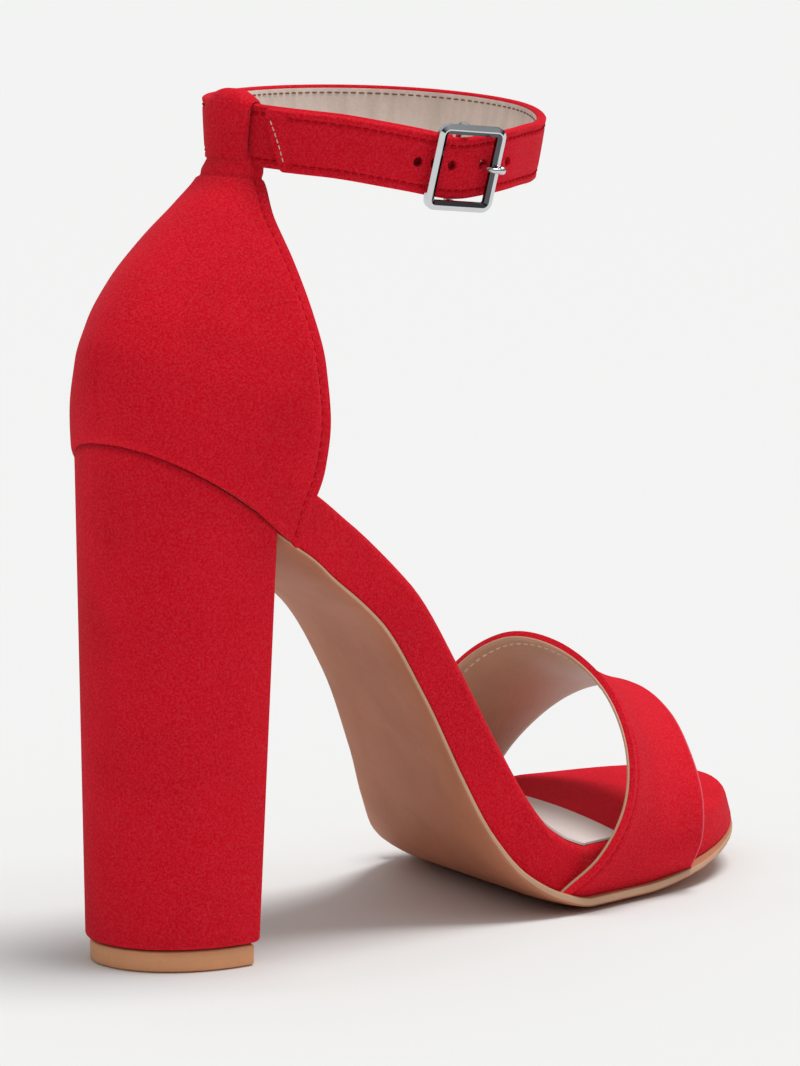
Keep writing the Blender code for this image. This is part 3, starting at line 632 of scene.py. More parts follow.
def grain_group():
    """Fine pebbled grain of leather and rubber, with faint mottling and upright streaks of painted pleat
    shade.
    """
    name = "Fine grain"
    if name in bpy.data.node_groups:
        return bpy.data.node_groups[name]
    group, enter, leave, place = node_group(name, {
        "Tone": BLANK, "Dark": BLANK, "Pebble Scale": 1400.0, "Mottle Scale": 70.0,
        "Sheen Low": 0.40, "Sheen High": 0.58, "Streaks": 0.0, "Pleat Shade Scale": 260.0})
    inputs = {"Vector": place, "Scale": enter["Pebble Scale"]}
    pebble = add_node(group, "ShaderNodeTexVoronoi", inputs, feature="SMOOTH_F1").outputs["Distance"]
    mottle = noise(group, place, enter["Mottle Scale"], 4.0, 0.55, 0.5)
    # upright streaks of painted pleat shade
    upright = add_node(group, "ShaderNodeMapping", {"Vector": place, "Scale": PLEAT_SHADE_STRETCH})
    pleat_shade = remap(group, noise(group, upright.outputs["Vector"], enter["Pleat Shade Scale"], 2.0), *PLEAT_SHADE_RANGE)
    tone = enter["Tone"]
    for share in (remap(group, mottle, *MOTTLED), remap(group, pebble, *PORED),
                  compute(group, "MULTIPLY", pleat_shade, enter["Streaks"])):
        tone = mix_colour(group, share, tone, enter["Dark"])
    group.links.new(tone, leave["Color"])
    sheen = remap(group, mottle, 0.0, 1.0, enter["Sheen Low"], enter["Sheen High"])
    group.links.new(sheen, leave["Roughness"])
    group.links.new(compute(group, "MULTIPLY_ADD", pebble, -0.8, mottle), leave["Height"])
    return group


def new_finish(name, group, values, bump_strength, bump_depth, **plain):
    """A material whose colour, roughness and relief come from a group, and the rest from plain values."""
    made = bpy.data.materials.new(name)
    made.use_nodes = True
    tree = made.node_tree
    shader = tree.nodes["Principled BSDF"].inputs
    for socket, value in plain.items():
        shader[socket.replace("_", " ")].default_value = value
    effect = add_node(tree, "ShaderNodeGroup", values, node_tree=group).outputs
    relief = {"Strength": bump_strength, "Distance": bump_depth * MM, "Height": effect["Height"]}
    tree.links.new(effect["Color"], shader["Base Color"])
    tree.links.new(effect["Roughness"], shader["Roughness"])
    tree.links.new(add_node(tree, "ShaderNodeBump", relief).outputs["Normal"], shader["Normal"])
    return made


def keep_floor_neutral(made):
    """Light that has bounced off the material carries little of its colour to the floor and the sole."""
    tree = made.node_tree
    shader = tree.nodes["Principled BSDF"].inputs
    bounced = tree.nodes.new("ShaderNodeRGB").outputs["Color"]
    bounced.default_value = BOUNCED_TONE
    path = tree.nodes.new("ShaderNodeLightPath").outputs["Is Diffuse Ray"]
    seen = shader["Base Color"].links[0].from_socket
    tree.links.new(mix_colour(tree, path, seen, bounced), shader["Base Color"])


def paint(name):
    """A colour from the panel, with full alpha."""
    return (*getattr(bpy.context.scene.sandal_colours, name), 1.0)


def darker(rgba, share):
    return (*(channel * share for channel in rgba[:3]), 1.0)


def suede(name):
    """Napped red suede of the uppers, the heel and the footbed."""
    values = {"Red": paint("red"), "Lit": paint("red_lit"), "Deep": paint("red_deep"),
              "Worn Highlight": paint("red_worn_highlight")}
    made = new_finish(name, suede_group(), values, 0.6, 0.36, Sheen_Weight=0.16, Sheen_Roughness=0.45,
                      Sheen_Tint=(1.0, 0.30, 0.34, 1.0), Specular_IOR_Level=0.02)
    keep_floor_neutral(made)
    return made


def grained(name, tone, pebble, low, high, strength, gloss, pleat_shade_share, shade):
    """Leather, rubber or thread with a fine grain."""
    values = {"Tone": paint(tone), "Dark": darker(paint(tone), shade), "Pebble Scale": pebble,
              "Sheen Low": low, "Sheen High": high, "Streaks": pleat_shade_share}
    return new_finish(name, grain_group(), values, strength, 0.25, Specular_IOR_Level=gloss)


def plated(name, tone):
    """Polished plating with faint handling marks; on the buckle's inner slopes its dark tone is a painted
    reflection.
    """
    values = {"Tone": paint(tone), "Dark": darker(paint(tone), 0.86), "Pebble Scale": 600.0,
              "Mottle Scale": 260.0, "Sheen Low": 0.04, "Sheen High": 0.10}
    return new_finish(name, grain_group(), values, 0.02, 0.05, Metallic=1.0)


def finish_of(name):
    """The material of a finish, made at its first use."""
    if name in bpy.data.materials:
        return bpy.data.materials[name]
    if name in GRAINED:
        return grained(name, *GRAINED[name])
    return plated(name, PLATED[name]) if name in PLATED else suede(name)


def sole_point(x, across, up):
    """A point of the sole at a station: distances across and up from the bearing line."""
    probe = 0.05
    slopes = [(SOLE(axis, x + probe) - SOLE(axis, x - probe)) / (2.0 * probe) for axis in "yz"]
    skew = math.radians(SOLE("skew", x))
    cross = np.array((math.sin(skew), math.cos(skew), 0.0))
    lean = smooth_step(SEAT_END, SHANK_START, x)
    normal = unit(np.cross((1.0, *slopes), cross))
    rise = unit(normal * lean + np.array((0.0, 0.0, 1.0)) * (1.0 - lean))
    centre = np.array((x, SOLE("y", x), SOLE("z", x)))
    return centre + np.outer(across, cross) + np.outer(up, rise)


def end_factor(x, back, front):
    """Share of the full width that is left in the rounded heel and toe ends."""
    heel = max((back + HEEL_ROUND - x) / HEEL_ROUND, 0.0)
    toe = max((x - front + TOE_ROUND) / TOE_ROUND, 0.0)
    inside = max(1.0 - heel ** END_POWER, 0.0) * max(1.0 - toe ** END_POWER, 0.0)
    return inside ** (1.0 / END_POWER)


def stations(back, front, round_back=True, round_front=True, step=1.6):
    """Places of the sections along the sole, close together where an end is round."""
    heel = list(back + HEEL_ROUND * (1.0 - np.cos(END_TURNS))) if round_back else [back]
    toe = list(front - TOE_ROUND * (1.0 - np.cos(END_TURNS))) if round_front else [front]
    count = max(int((toe[-1] - heel[-1]) / step), 2)
    return heel + list(np.linspace(heel[-1], toe[-1], count + 1)[1:-1]) + toe[::-1]


def footbed_half(x, column):
    """Half widths of the footbed on one side: of its underside and its flat top, and the edge radius."""
    share = end_factor(x, FOOTBED_BACK, TOE_TIP)
    half = SOLE(column, x) * share
    edge = min(FOOTBED_TOP_RADIUS, 0.8 * half)
    return half, half + SOLE("flare", x) * share - edge, edge


def footbed_top(x, part):
    return SOLE("thickness", x) + SOLE("crown", x) * (1.0 - part * part)


def quarter_round(across, up, radius, start, steps=7):
    turns = np.radians(np.linspace(start, start + 90.0, steps))
    return list(zip(across + radius * np.cos(turns), up + radius * np.sin(turns)))


def footbed_section(x):
    """Section of the footbed: flat below, rounded at its edges, cupped or crowned on top."""
    drop = max(FOOTBED_TOP_RADIUS - min(x - FOOTBED_BACK, TOE_TIP - x), 0.0)
    rounding = FOOTBED_TOP_RADIUS - math.sqrt(FOOTBED_TOP_RADIUS ** 2 - drop ** 2)
    top = SOLE("thickness", x) - rounding
    section = []
    for side, column in ((1.0, "medial"), (-1.0, "lateral")):
        half, flat, radius = footbed_half(x, column)
        low = min(FOOTBED_LOW_RADIUS, 0.5 * half)
        edge = quarter_round(half - low, low, low, -90.0)
        edge += quarter_round(flat, top - radius, radius, 0.0)
        for part in np.linspace(0.9, 0.1, 9):
            edge.append((part * flat, footbed_top(x, part) - rounding))
        if side > 0.0:
            edge.append((0.0, footbed_top(x, 0.0) - rounding))
        else:
            edge.reverse()
        section += [(side * across, up) for across, up in edge]
    return sole_point(x, *zip(*section))


def outsole_section(x, front):
    """Section of the outsole with its broken edges: below, medial edge, above, lateral edge."""
    share = end_factor(x, FOOTBED_BACK, front)
    medial, lateral = ((SOLE(column, x) + SOLE("welt", x)) * share for column in ("medial", "lateral"))
    sheet = SOLE("sheet", x)
    low = -sheet * (1.0 - TREAD_ROLL)
    edge = min(OUTSOLE_EDGE, 0.3 * min(medial, lateral))
    broken = EDGE_BREAK * edge
    below = []
    for across in np.linspace(edge - lateral, medial - edge, OUTSOLE_POINTS):
        part = abs(across) / (medial if across > 0.0 else lateral)
        roll = (max(part - TREAD_FLAT, 0.0) / (1.0 - TREAD_FLAT)) ** 2
        below.append((across, -sheet * (1.0 - TREAD_ROLL * roll)))
    # the side above this point takes the pale rim with its painted highlight
    side = [(medial - broken, low + broken), (medial, low + edge), (medial, RIM_HIGHLIGHT_SHARE * (low + edge))]
    side += [(medial, -edge), (medial - broken, -broken)]
    above = [(across, 0.0) for across in np.linspace(medial - edge, edge - lateral, 7)]
    other = [(-lateral + (medial - across), up) for across, up in side[::-1]]
    return sole_point(x, *zip(*(below + side + above + other)))


def heel_plan(rise, inset=0.0):
    """D-shaped plan of the heel: half oval, straight sides, rounded corners at a flat breast."""
    half = HEEL("width", rise) / 2.0 - inset
    back = HEEL("back", rise) + inset
    front = HEEL("front", rise) - inset
    rounding = HEEL("rounding", rise)
    power = 2.0 / HEEL_POWER
    plan = []
    for turn in np.linspace(-math.pi / 2.0, math.pi / 2.0, HEEL_POINTS):
        across = half * signed_power(math.sin(turn), power)
        along = back + rounding * (1.0 - max(math.cos(turn), 0.0) ** power)
        plan.append((min(along, front - BREAST_RADIUS), across))
    turns = np.radians(np.linspace(90.0, 0.0, 7))
    corner = [(front - BREAST_RADIUS * (1.0 - math.cos(t)), half - BREAST_RADIUS * (1.0 - math.sin(t)))
              for t in turns]
    flat = half - BREAST_RADIUS
    breast = [(front, y) for y in np.linspace(flat, -flat, BREAST_POINTS)[1:-1]]
    return plan + corner + breast + [(x, -y) for x, y in corner[::-1]]


def counter_face(around, height):
    """Inner face of the counter: around runs from the lateral front edge over the back to the medial one."""
    level = height * COUNTER.stop
    back = COUNTER("back_x", level)
    depth = COUNTER("front_x", level) - back
    round_part = COUNTER("round_part", level)
    away = np.abs(2.0 * around - 1.0)
    curve = np.sin(np.radians(90.0) * np.minimum(away / ROUND_SHARE, 1.0)) ** 2
    straight = np.maximum(away - ROUND_SHARE, 0.0) / (1.0 - ROUND_SHARE)
    forward = round_part * curve + (1.0 - round_part) * straight
    width = np.sqrt(curve * (1.0 + COUNTER("fullness", level) * (1.0 - curve)))
    trim = NECK_TRIM * smooth_step(*NECK_LEVELS, level) * (around < 0.5)
    side = np.copysign((COUNTER("half_width", level) - trim) * width, around - 0.5)
    z = COUNTER("back_z", level) + (COUNTER("front_z", level) - COUNTER("back_z", level)) * forward
    return np.stack(np.broadcast_arrays(back + depth * forward, side, z), axis=-1)


def vamp_edge(edge, turn):
    return np.stack([VAMP(edge + axis, turn) for axis in ("_x", "_y", "_z")], axis=-1)


def vamp_face(width, turn):
    """Inner face of the forefoot strap: turn goes over the foot, width from the rear to the front edge."""
    edges = ("rear", "front")
    rear, front = (vamp_edge(edge, turn) for edge in edges)
    probe = 0.01
    course = sum(vamp_edge(edge, turn + probe) - vamp_edge(edge, turn - probe) for edge in edges)
    outward = unit(np.cross(course, front - rear))
    bow = 4.0 * width * (1.0 - width)
    drop = np.zeros_like(outward)
    drop[..., 2] = VAMP("sag", turn)
    arched = outward * VAMP("swell", turn)[..., None] - drop
    return rear + (front - rear) * width[..., None] + arched * bow[..., None]


def outward_normals(points, inside):
    """Normals of a grid of points, turned away from a point inside."""
    normal = np.cross(np.gradient(points, axis=1), np.gradient(points, axis=0))
    normal /= np.maximum(np.linalg.norm(normal, axis=-1, keepdims=True), 1.0e-9)
    away = np.sum(normal * (points - np.asarray(inside)), axis=-1).mean()
    return normal * math.copysign(1.0, away)


class Panel:
    """A sewn sheet: lines across it, with points close together near both its edges."""

    def __init__(self, face, lines, wall, inside, middle, dense=300):
        across, along = np.meshgrid(np.linspace(0.0, 1.0, dense), np.asarray(lines))
        inner = face(across, along)
        self.wall = wall
        self.middle = middle
        self.normals = outward_normals(inner, inside)
        self.points = inner + self.normals * wall
        self.places = [run_length(points) for points in self.points]
        self.lengths = [place[-1] for place in self.places]

    def columns(self, length):
        """Distances of a line's points from its first edge."""
        middle = np.linspace(EDGE_PLACES[-1], length - EDGE_PLACES[-1], self.middle)[1:-1]
        return np.concatenate((EDGE_PLACES, middle, length - EDGE_PLACES[::-1]))

    def at(self, line, places):
        """Points and normals on one line at distances from its first edge."""
        place = self.places[line]
        return between(places, place, self.points[line]), unit(between(places, place, self.normals[line]))

    def grid(self, relief):
        """All points of the outer face; relief gives the height over it from line, place and length."""
        rows = []
        for line, length in enumerate(self.lengths):
            places = self.columns(length)
            spot, turn = self.at(line, places)
            rows.append(spot + turn * relief(line, places, length)[:, None])
        return np.array(rows)

    def seam(self, inset, far, lines, within):
        """A line at a distance from one edge, with its normals, on the outer face or deeper in the wall."""
        spots = []
        turns = []
        for line in lines:
            place = self.lengths[line] - inset if far else inset
            spot, turn = self.at(line, np.array((place,)))
            spots.append(spot[0] - turn[0] * within)
            turns.append(turn[0])
        return np.array(spots), np.array(turns)


def groove(places, centre, depth, width=0.55):
    return -depth * np.exp(-((places - centre) / width) ** 2)


def sheet(name, panel, points, thickness, finish, nodes=()):
    """Rows of points as a sheet of leather that grows inward from them."""
    mesh = quad_mesh(name, points)
    middle_line = len(panel.lengths) // 2
    middle = np.array((panel.lengths[middle_line] / 2.0,))
    normal = mesh.polygons[len(mesh.polygons) // 2].normal
    if normal.dot(Vector(panel.at(middle_line, middle)[1][0])) < 0.0:
        mesh.flip_normals()
    piece = add_piece(name, mesh, (finish,), nodes)
    wall = piece.modifiers.new("wall", "SOLIDIFY")
    wall.thickness = thickness * MM
    wall.offset = -1.0
    wall.use_even_offset = True
    wall.use_quality_normals = True
    return piece


def sewn_panel(name, panel, relief, node, lips=(0.0, 0.0), wear_and_highlight=(0.0, 0.0)):
    """The panel as a wall: suede outside, and inside it a thin lining that may show a lip at both edges."""
    points = panel.grid(relief)
    outer = sheet("suede_" + name, panel, points, panel.wall - LINING, "napped_suede", (node,))
    # pale worn edge with a painted highlight, at the edges given by the wear shares
    worn_and_highlight = np.zeros(points.shape[:2], dtype=np.float32)
    worn_and_highlight[:, 0] = wear_and_highlight[0]
    worn_and_highlight[:, -1] = wear_and_highlight[1]
    outer.data.attributes.new(EDGE_WEAR_AND_HIGHLIGHT, "FLOAT", "POINT").data.foreach_set("value", worn_and_highlight.ravel())
    soften(outer, SUEDE_EDGE)
    inner = panel.grid(lambda line, places, length: np.full(len(places), LINING - panel.wall))
    for edge, beside, lip in ((0, 1, lips[0]), (-1, -2, lips[1])):
        away = inner[:, edge] - inner[:, beside]
        inner[:, edge] += away * (lip / np.linalg.norm(away, axis=1, keepdims=True))
    sheet(name + "_lining", panel, inner, LINING, "tan_lining")


def stitch_rows(spots, turns, pitch, trim=0.5):
    """Evenly spaced places along a seam with their directions and normals."""
    probe = 0.3
    place = run_length(spots)
    count = max(int((place[-1] - 2.0 * trim) / pitch), 1)
    where = (place[-1] - (count - 1) * pitch) / 2.0 + pitch * np.arange(count)
    course = unit(between(where + probe, place, spots) - between(where - probe, place, spots))
    return between(where, place, spots), course, between(where, place, turns)


def stitches(name, seams, finish, sink=0.12, scale=1.0):
    """Rows of thread, each stitch a small bead that dips into the suede at both ends."""
    half = in_mm("stitch_length") * scale / 2.0
    radius = in_mm("thread_radius") * scale
    along = np.array((-1.0, -0.72, 0.0, 0.72, 1.0))
    girth = np.array((0.35, 0.85, 1.0, 0.85, 0.35))
    dip = np.array((-0.5, -0.1, 0.0, -0.1, -0.5))
    turns = np.radians(np.arange(0.0, 360.0, 60.0))
    vertices = []
    faces = []
    for spots, normals in seams:
        for spot, course, normal in zip(*stitch_rows(spots, normals, in_mm("stitch_pitch") * scale)):
            flank = np.cross(normal, course)
            base = len(vertices)
            for reach, thick, low in zip(along, girth, dip):
                middle = spot + course * half * reach + normal * (radius * (low + THREAD_SHOWN) - sink)
                for turn in turns:
                    away = flank * math.cos(turn) + normal * math.sin(turn)
                    vertices.append(middle + radius * thick * away)
            for low in range(base, base + 24, 6):
                faces += [(low + i, low + (i + 1) % 6, low + 6 + (i + 1) % 6, low + 6 + i) for i in range(6)]
            faces += [tuple(range(base + 5, base - 1, -1)), tuple(range(base + 24, base + 30))]
    mesh = bpy.data.meshes.new(name)
    mesh.from_pydata(row_frame(np.array(vertices)).tolist(), [], faces)
    add_piece(name, turned_out(mesh), (finish,))


def ring_point(angle):
    """Centre line of the ankle ring; angles grow from the loop over the lateral side to the front."""
    turn = math.radians(angle)
    x = RING_CENTRE[0] - RING_HALF[0] * math.cos(turn)
    y = RING_CENTRE[1] - RING_HALF[1] * math.sin(turn) * (1.0 - RING_EGG * math.cos(turn))
    return np.array((x, y, RING("height", angle % 360.0)))


def ring_frame(angle):
    """Centre of the ankle ring with its along (to larger angles), outward and up directions."""
    probe = 0.4
    centre = ring_point(angle)
    along = unit(ring_point(angle + probe) - ring_point(angle - probe))
    outward = unit(np.cross(along, (0.0, 0.0, 1.0)))
    outward *= math.copysign(1.0, np.dot(outward[:2], centre[:2] - RING_CENTRE))
    up = np.cross(outward, along)
    up *= math.copysign(1.0, up[2])
    return centre, along, *turned(outward, up, RING("lean", angle % 360.0))


def tail_lift(angle):
    """How far the strap lies outward of its ring at an angle counted on past the first turn."""
    start, stop = (BUCKLE_ANGLE - 360.0 + rise for rise in TAIL_RISE)
    return TAIL_LIFT * (1.0 - smooth_step(stop, start, angle))


def past_tip(angle):
    """How far a section lies within the tail's tip, from 0 at its start to 1 at its end."""
    return min(max((TIP_START - angle) / (TIP_START - TIP_ANGLE), 0.0), 1.0)


def strap_half(angle):
    """Half width of the ankle strap, with the tip's corners rounded."""
    into_corner = max(TIP_CORNER - (1.0 - past_tip(angle)) * TIP_LENGTH, 0.0)
    return in_mm("strap_width") / 2.0 - TIP_CORNER + math.sqrt(TIP_CORNER ** 2 - into_corner ** 2)


def strap_frame(angle):
    """Middle of the strap with its outward and up directions; up slants toward the tail's oblique tip."""
    centre, along, outward, up = ring_frame(angle)
    slant = along * TIP_SLANT * past_tip(angle) / in_mm("strap_width")
    away = (angle - BUCKLE_ANGLE + 180.0) % 360.0 - 180.0
    settle = STRAP_SETTLE * math.exp(-(away / STRAP_SETTLE_SPREAD) ** 2)
    return centre + outward * tail_lift(angle) - up * settle, outward, up - slant


def strap_angles():
    """Angles of the strap's sections, close together toward the tail's tip."""
    tip = TIP_START + (TIP_ANGLE - TIP_START) * np.sin(np.linspace(0.05, math.pi / 2.0, STRAP_SECTIONS[1]))
    return [*np.linspace(BASE_END_ANGLE, TIP_START, STRAP_SECTIONS[0]), *tip]


def strap_section(half_width):
    """Section of the strap as (outward, up) pairs: seamed outer face, rolled edges, lined inner face."""
    half_out = in_mm("strap_thickness") / 2.0
    flat = half_width - STRAP_ROLL
    depth, width = STRAP_SEAM
    outer = []
    for up in np.linspace(-flat, flat, STRAP_POINTS[0]):
        sunk = STRAP_CROWN * (up / half_width) ** 2
        dent = groove(abs(up), half_width - SEAM_FROM_EDGE, in_mm("seam_depth") * depth, width)
        outer.append((half_out - sunk + dent, up))
    turns = np.radians(np.linspace(0.0, 180.0, 9))[1:-1]
    top = [(half_out * math.cos(t), flat + STRAP_ROLL * math.sin(t)) for t in turns]
    inner = [(-half_out, up) for up in np.linspace(flat, -flat, STRAP_POINTS[1])]
    return outer + top + inner + [(-out, -up) for out, up in top]


def strap_line(angles, up_of, out):
    """A line along the strap at a height across it, on its outer (out=1) or inner (out=-1) face."""
    spots = []
    turns = []
    half_out = in_mm("strap_thickness") / 2.0
    for angle in angles:
        middle, outward, up = strap_frame(angle)
        spots.append(middle + outward * out * half_out + up * up_of(strap_half(angle)))
        turns.append(outward * out)
    return np.array(spots), np.array(turns)


def punched(mesh, name):
    """The mesh with the tail's row of round holes cut through."""
    blank = add_object(name + "_blank", mesh)
    cutters = []
    for number in range(HOLE_COUNT):
        along = HOLE_OFFSET + HOLE_SPACING * (number - (HOLE_COUNT - 1) / 2.0)
        angle = BUCKLE_ANGLE + math.degrees(along / RING_HALF[0])
        centre, _, outward, _ = ring_frame(angle)
        shape = bmesh.new()
        bmesh.ops.create_cone(shape, cap_ends=True, segments=28, radius1=sizes().hole_radius,
                              radius2=sizes().hole_radius, depth=sizes().strap_thickness + PUNCH_EXCESS * MM)
        cutter = add_object(name + "_punch", as_mesh(name + "_punch", shape))
        cutter.location = Vector(row_frame(centre + outward * tail_lift(angle - 360.0)))
        cutter.rotation_euler = Vector(outward).to_track_quat("Z", "Y").to_euler()
        cut = blank.modifiers.new("hole", "BOOLEAN")
        cut.solver = "EXACT"
        cut.object = cutter
        cutters.append(cutter)
    bpy.context.view_layer.update()
    shapes = bpy.context.evaluated_depsgraph_get()
    made = bpy.data.meshes.new_from_object(blank.evaluated_get(shapes))
    made.name = name
    for old in (blank, *cutters):
        bpy.data.objects.remove(old, do_unlink=True)
    return made


def buckle_point(along, lift_out, rise):
    """A point in the flat frame of the buckle: along the strap, outward from the ring, and up."""
    centre, forward, outward, up = ring_frame(BUCKLE_ANGLE)
    forward, up = turned(forward, up, BUCKLE_TURN)
    outward, up = turned(outward, up, BUCKLE_LEAN)
    return centre + forward * along + outward * lift_out + up * rise


def bevelled_bar(half_wide, half_thick):
    """Section of a bar whose face slopes to both sides of a narrow ridge, as (wide, thick) pairs."""
    ridge = 0.14 * half_wide
    brow = 0.45 * half_thick
    back = 0.7 * half_wide
    right = [(half_wide, -0.6 * half_thick), (half_wide, brow), (ridge, half_thick)]
    left = [(-ridge, half_thick), (-half_wide, brow), (-half_wide, -0.6 * half_thick)]
    return right + left + [(-back, -half_thick), (back, -half_thick)]


def smooth_route(points, count):
    """A smooth curve through points, read at even steps."""
    place = run_length(points)
    table = Table("at x y z", *[(at, *point) for at, point in zip(place, points)])
    even = np.linspace(0.0, place[-1], count)
    return np.stack([table(axis, even) for axis in "xyz"], axis=-1)


def add_wire(name, points, radii, node, sides=16):
    """A polished round wire bent in one plane, whose radius may change along it."""
    flat_side = np.linalg.svd(points - points.mean(axis=0))[2][2]
    turns = np.linspace(0.0, 2.0 * math.pi, sides, endpoint=False)
    rings = []
    for point, bend, radius in zip(points, unit(np.cross(np.gradient(points, axis=0), flat_side)), radii):
        rings.append(point + radius * (np.outer(np.cos(turns), flat_side) + np.outer(np.sin(turns), bend)))
    add_rings(name, rings, ("polished_metal",), node)


class SANDAL_OT_outsole(bpy.types.Operator):
    """Tan outsole with its pale cut edge and a painted highlight along the top of its side"""

    bl_idname = "sandal.outsole"
    bl_label = "Outsole"

    def execute(self, context):
        front = TOE_TIP + SOLE("welt", TOE_TIP)
        rings = [outsole_section(x, front) for x in stations(OUTSOLE_BACK, front, round_back=False)]
        # the top of the side is a pale cut edge with a painted highlight
        add_rings("tan_outsole", rings, ("satin_sole", "sole_rim_highlight"), "outsole", OUTSOLE_RIM_HIGHLIGHT)
        return {"FINISHED"}


class SANDAL_OT_footbed(bpy.types.Operator):
    """Suede-wrapped footbed and the pale sock on it"""

    bl_idname = "sandal.footbed"
    bl_label = "Footbed and sock"

    def execute(self, context):
        rings = [footbed_section(x) for x in stations(FOOTBED_BACK, TOE_TIP)]
        add_rings("wrapped_footbed", rings, ("napped_suede",), "footbed")
        rings = []
        back = FOOTBED_BACK + SOCK_INSET[0]
        for x in stations(back, SOCK_FRONT, round_front=False):
            share = end_factor(x, back, TOE_TIP)
            inset = SOCK_INSET[0] + (SOCK_INSET[1] - SOCK_INSET[0]) * smooth_step(*SOCK_WIDENS, x)
            low = []
            for part in np.linspace(-1.0, 1.0, SOCK_POINTS):
                column = "medial" if part > 0.0 else "lateral"
                across = part * (SOLE(column, x) + SOLE("flare", x) - inset) * share
                low.append((across, footbed_top(x, across / footbed_half(x, column)[1]) + SOCK_GAP))
            high = [(across, up + SOCK_SHOWN) for across, up in low]
            rings.append(sole_point(x, *zip(*(low + high[::-1]))))
        piece = add_rings("pale_insole", rings, ("smooth_sock",), "insole_sock")
        crisp(piece, SOCK_CRISP)
        return {"FINISHED"}


class SANDAL_OT_heel(bpy.types.Operator):
    """Suede-covered block heel and its top piece"""

    bl_idname = "sandal.heel"
    bl_label = "Heel and lift"

    def execute(self, context):
        foot = LIFT_THICKNESS + GAP
        rings = []
        for turn in np.radians(np.linspace(0.0, 75.0, 5)):
            inset = HEEL_EDGE * (1.0 - math.sin(turn))
            rise = foot + HEEL_EDGE * (1.0 - math.cos(turn))
            rings.append([(x, y, rise) for x, y in heel_plan(0.0, inset)])
        for rise in np.linspace(HEEL_EDGE / SOLE("z", HEEL_MIDDLE), 1.0, HEEL_SECTIONS):
            rings.append([(x, y, foot + (SOLE("z", x) - foot) * rise) for x, y in heel_plan(rise)])
        add_rings("covered_heel", rings, ("napped_suede",), "heel_block")
        rings = []
        for z in (0.0, LIFT_EDGE, *LIFT_RINGS, LIFT_THICKNESS - LIFT_EDGE, LIFT_THICKNESS):
            inset = LIFT_EDGE if z in (0.0, LIFT_THICKNESS) else 0.0
            rings.append([(x, y, z) for x, y in heel_plan(0.0, LIFT_INSET + inset)])
        piece = add_rings("tan_top_piece", rings, ("tan_lift",), "heel_lift")
        piece.modifiers.new("normals", "WEIGHTED_NORMAL").keep_sharp = True
        return {"FINISHED"}


class SANDAL_OT_counter(bpy.types.Operator):
    """Hollow heel counter with its edge seams and back seam"""

    bl_idname = "sandal.counter"
    bl_label = "Heel counter"

    def execute(self, context):
        lines = np.linspace(-SEAT_TUCK, 1.0, sizes().panel_lines)
        panel = Panel(counter_face, lines, in_mm("wall"), INSIDE_COUNTER, COUNTER_POINTS)
        inset = in_mm("seam_inset")
        depth = in_mm("seam_depth")

        def relief(line, places, length):
            at = lines[line]
            back_depth = depth * (smooth_step(*BACK_SEAM_STARTS, at) - smooth_step(*BACK_SEAM_ENDS, at))
            seams = groove(np.minimum(places, length - places), inset, depth)
            seams += groove(places, length / 2.0, back_depth, BACK_SEAM_WIDTH)
            turned_in = SEAT_TURN[0] * max(1.0 - (at + SEAT_TUCK) / SEAT_TURN[1], 0.0) ** 2
            middle, spread, pinch = NECK_PINCH
            return seams - turned_in - pinch * math.exp(-((at - middle) / spread) ** 2)

        sewn_panel("counter", panel, relief, "heel_counter")
        rows = range(2, int(NECK_SEWN * len(lines)))
        seams = [panel.seam(inset, far, rows, depth) for far in (False, True)]
        stitches("counter_stitches", seams, "red_thread")
        return {"FINISHED"}


class SANDAL_OT_vamp(bpy.types.Operator):
    """Wide forefoot strap with its edge seams and lining"""

    bl_idname = "sandal.vamp"
    bl_label = "Forefoot strap"

    def execute(self, context):
        lines = np.linspace(-VAMP_TUCK[0], 1.0 + VAMP_TUCK[1], 2 * sizes().panel_lines)
        panel = Panel(vamp_face, lines, in_mm("wall"), INSIDE_VAMP, VAMP_POINTS)
        inset = in_mm("seam_inset")
        depth = in_mm("seam_depth")
        sewn_panel("vamp", panel, lambda line, places, length: groove(places, inset, depth), "vamp_strap",
                   VAMP_LIPS, VAMP_WEAR_AND_HIGHLIGHT)
        rows = range(VAMP_UNSEWN, len(lines) - VAMP_UNSEWN)
        stitches("vamp_stitches", [panel.seam(inset, False, rows, depth)], "red_thread")
        spots, turns = panel.seam(inset, False, rows, panel.wall)
        stitches("vamp_lining_stitches", [(spots, -turns)], "pale_thread", sink=0.08)
        return {"FINISHED"}


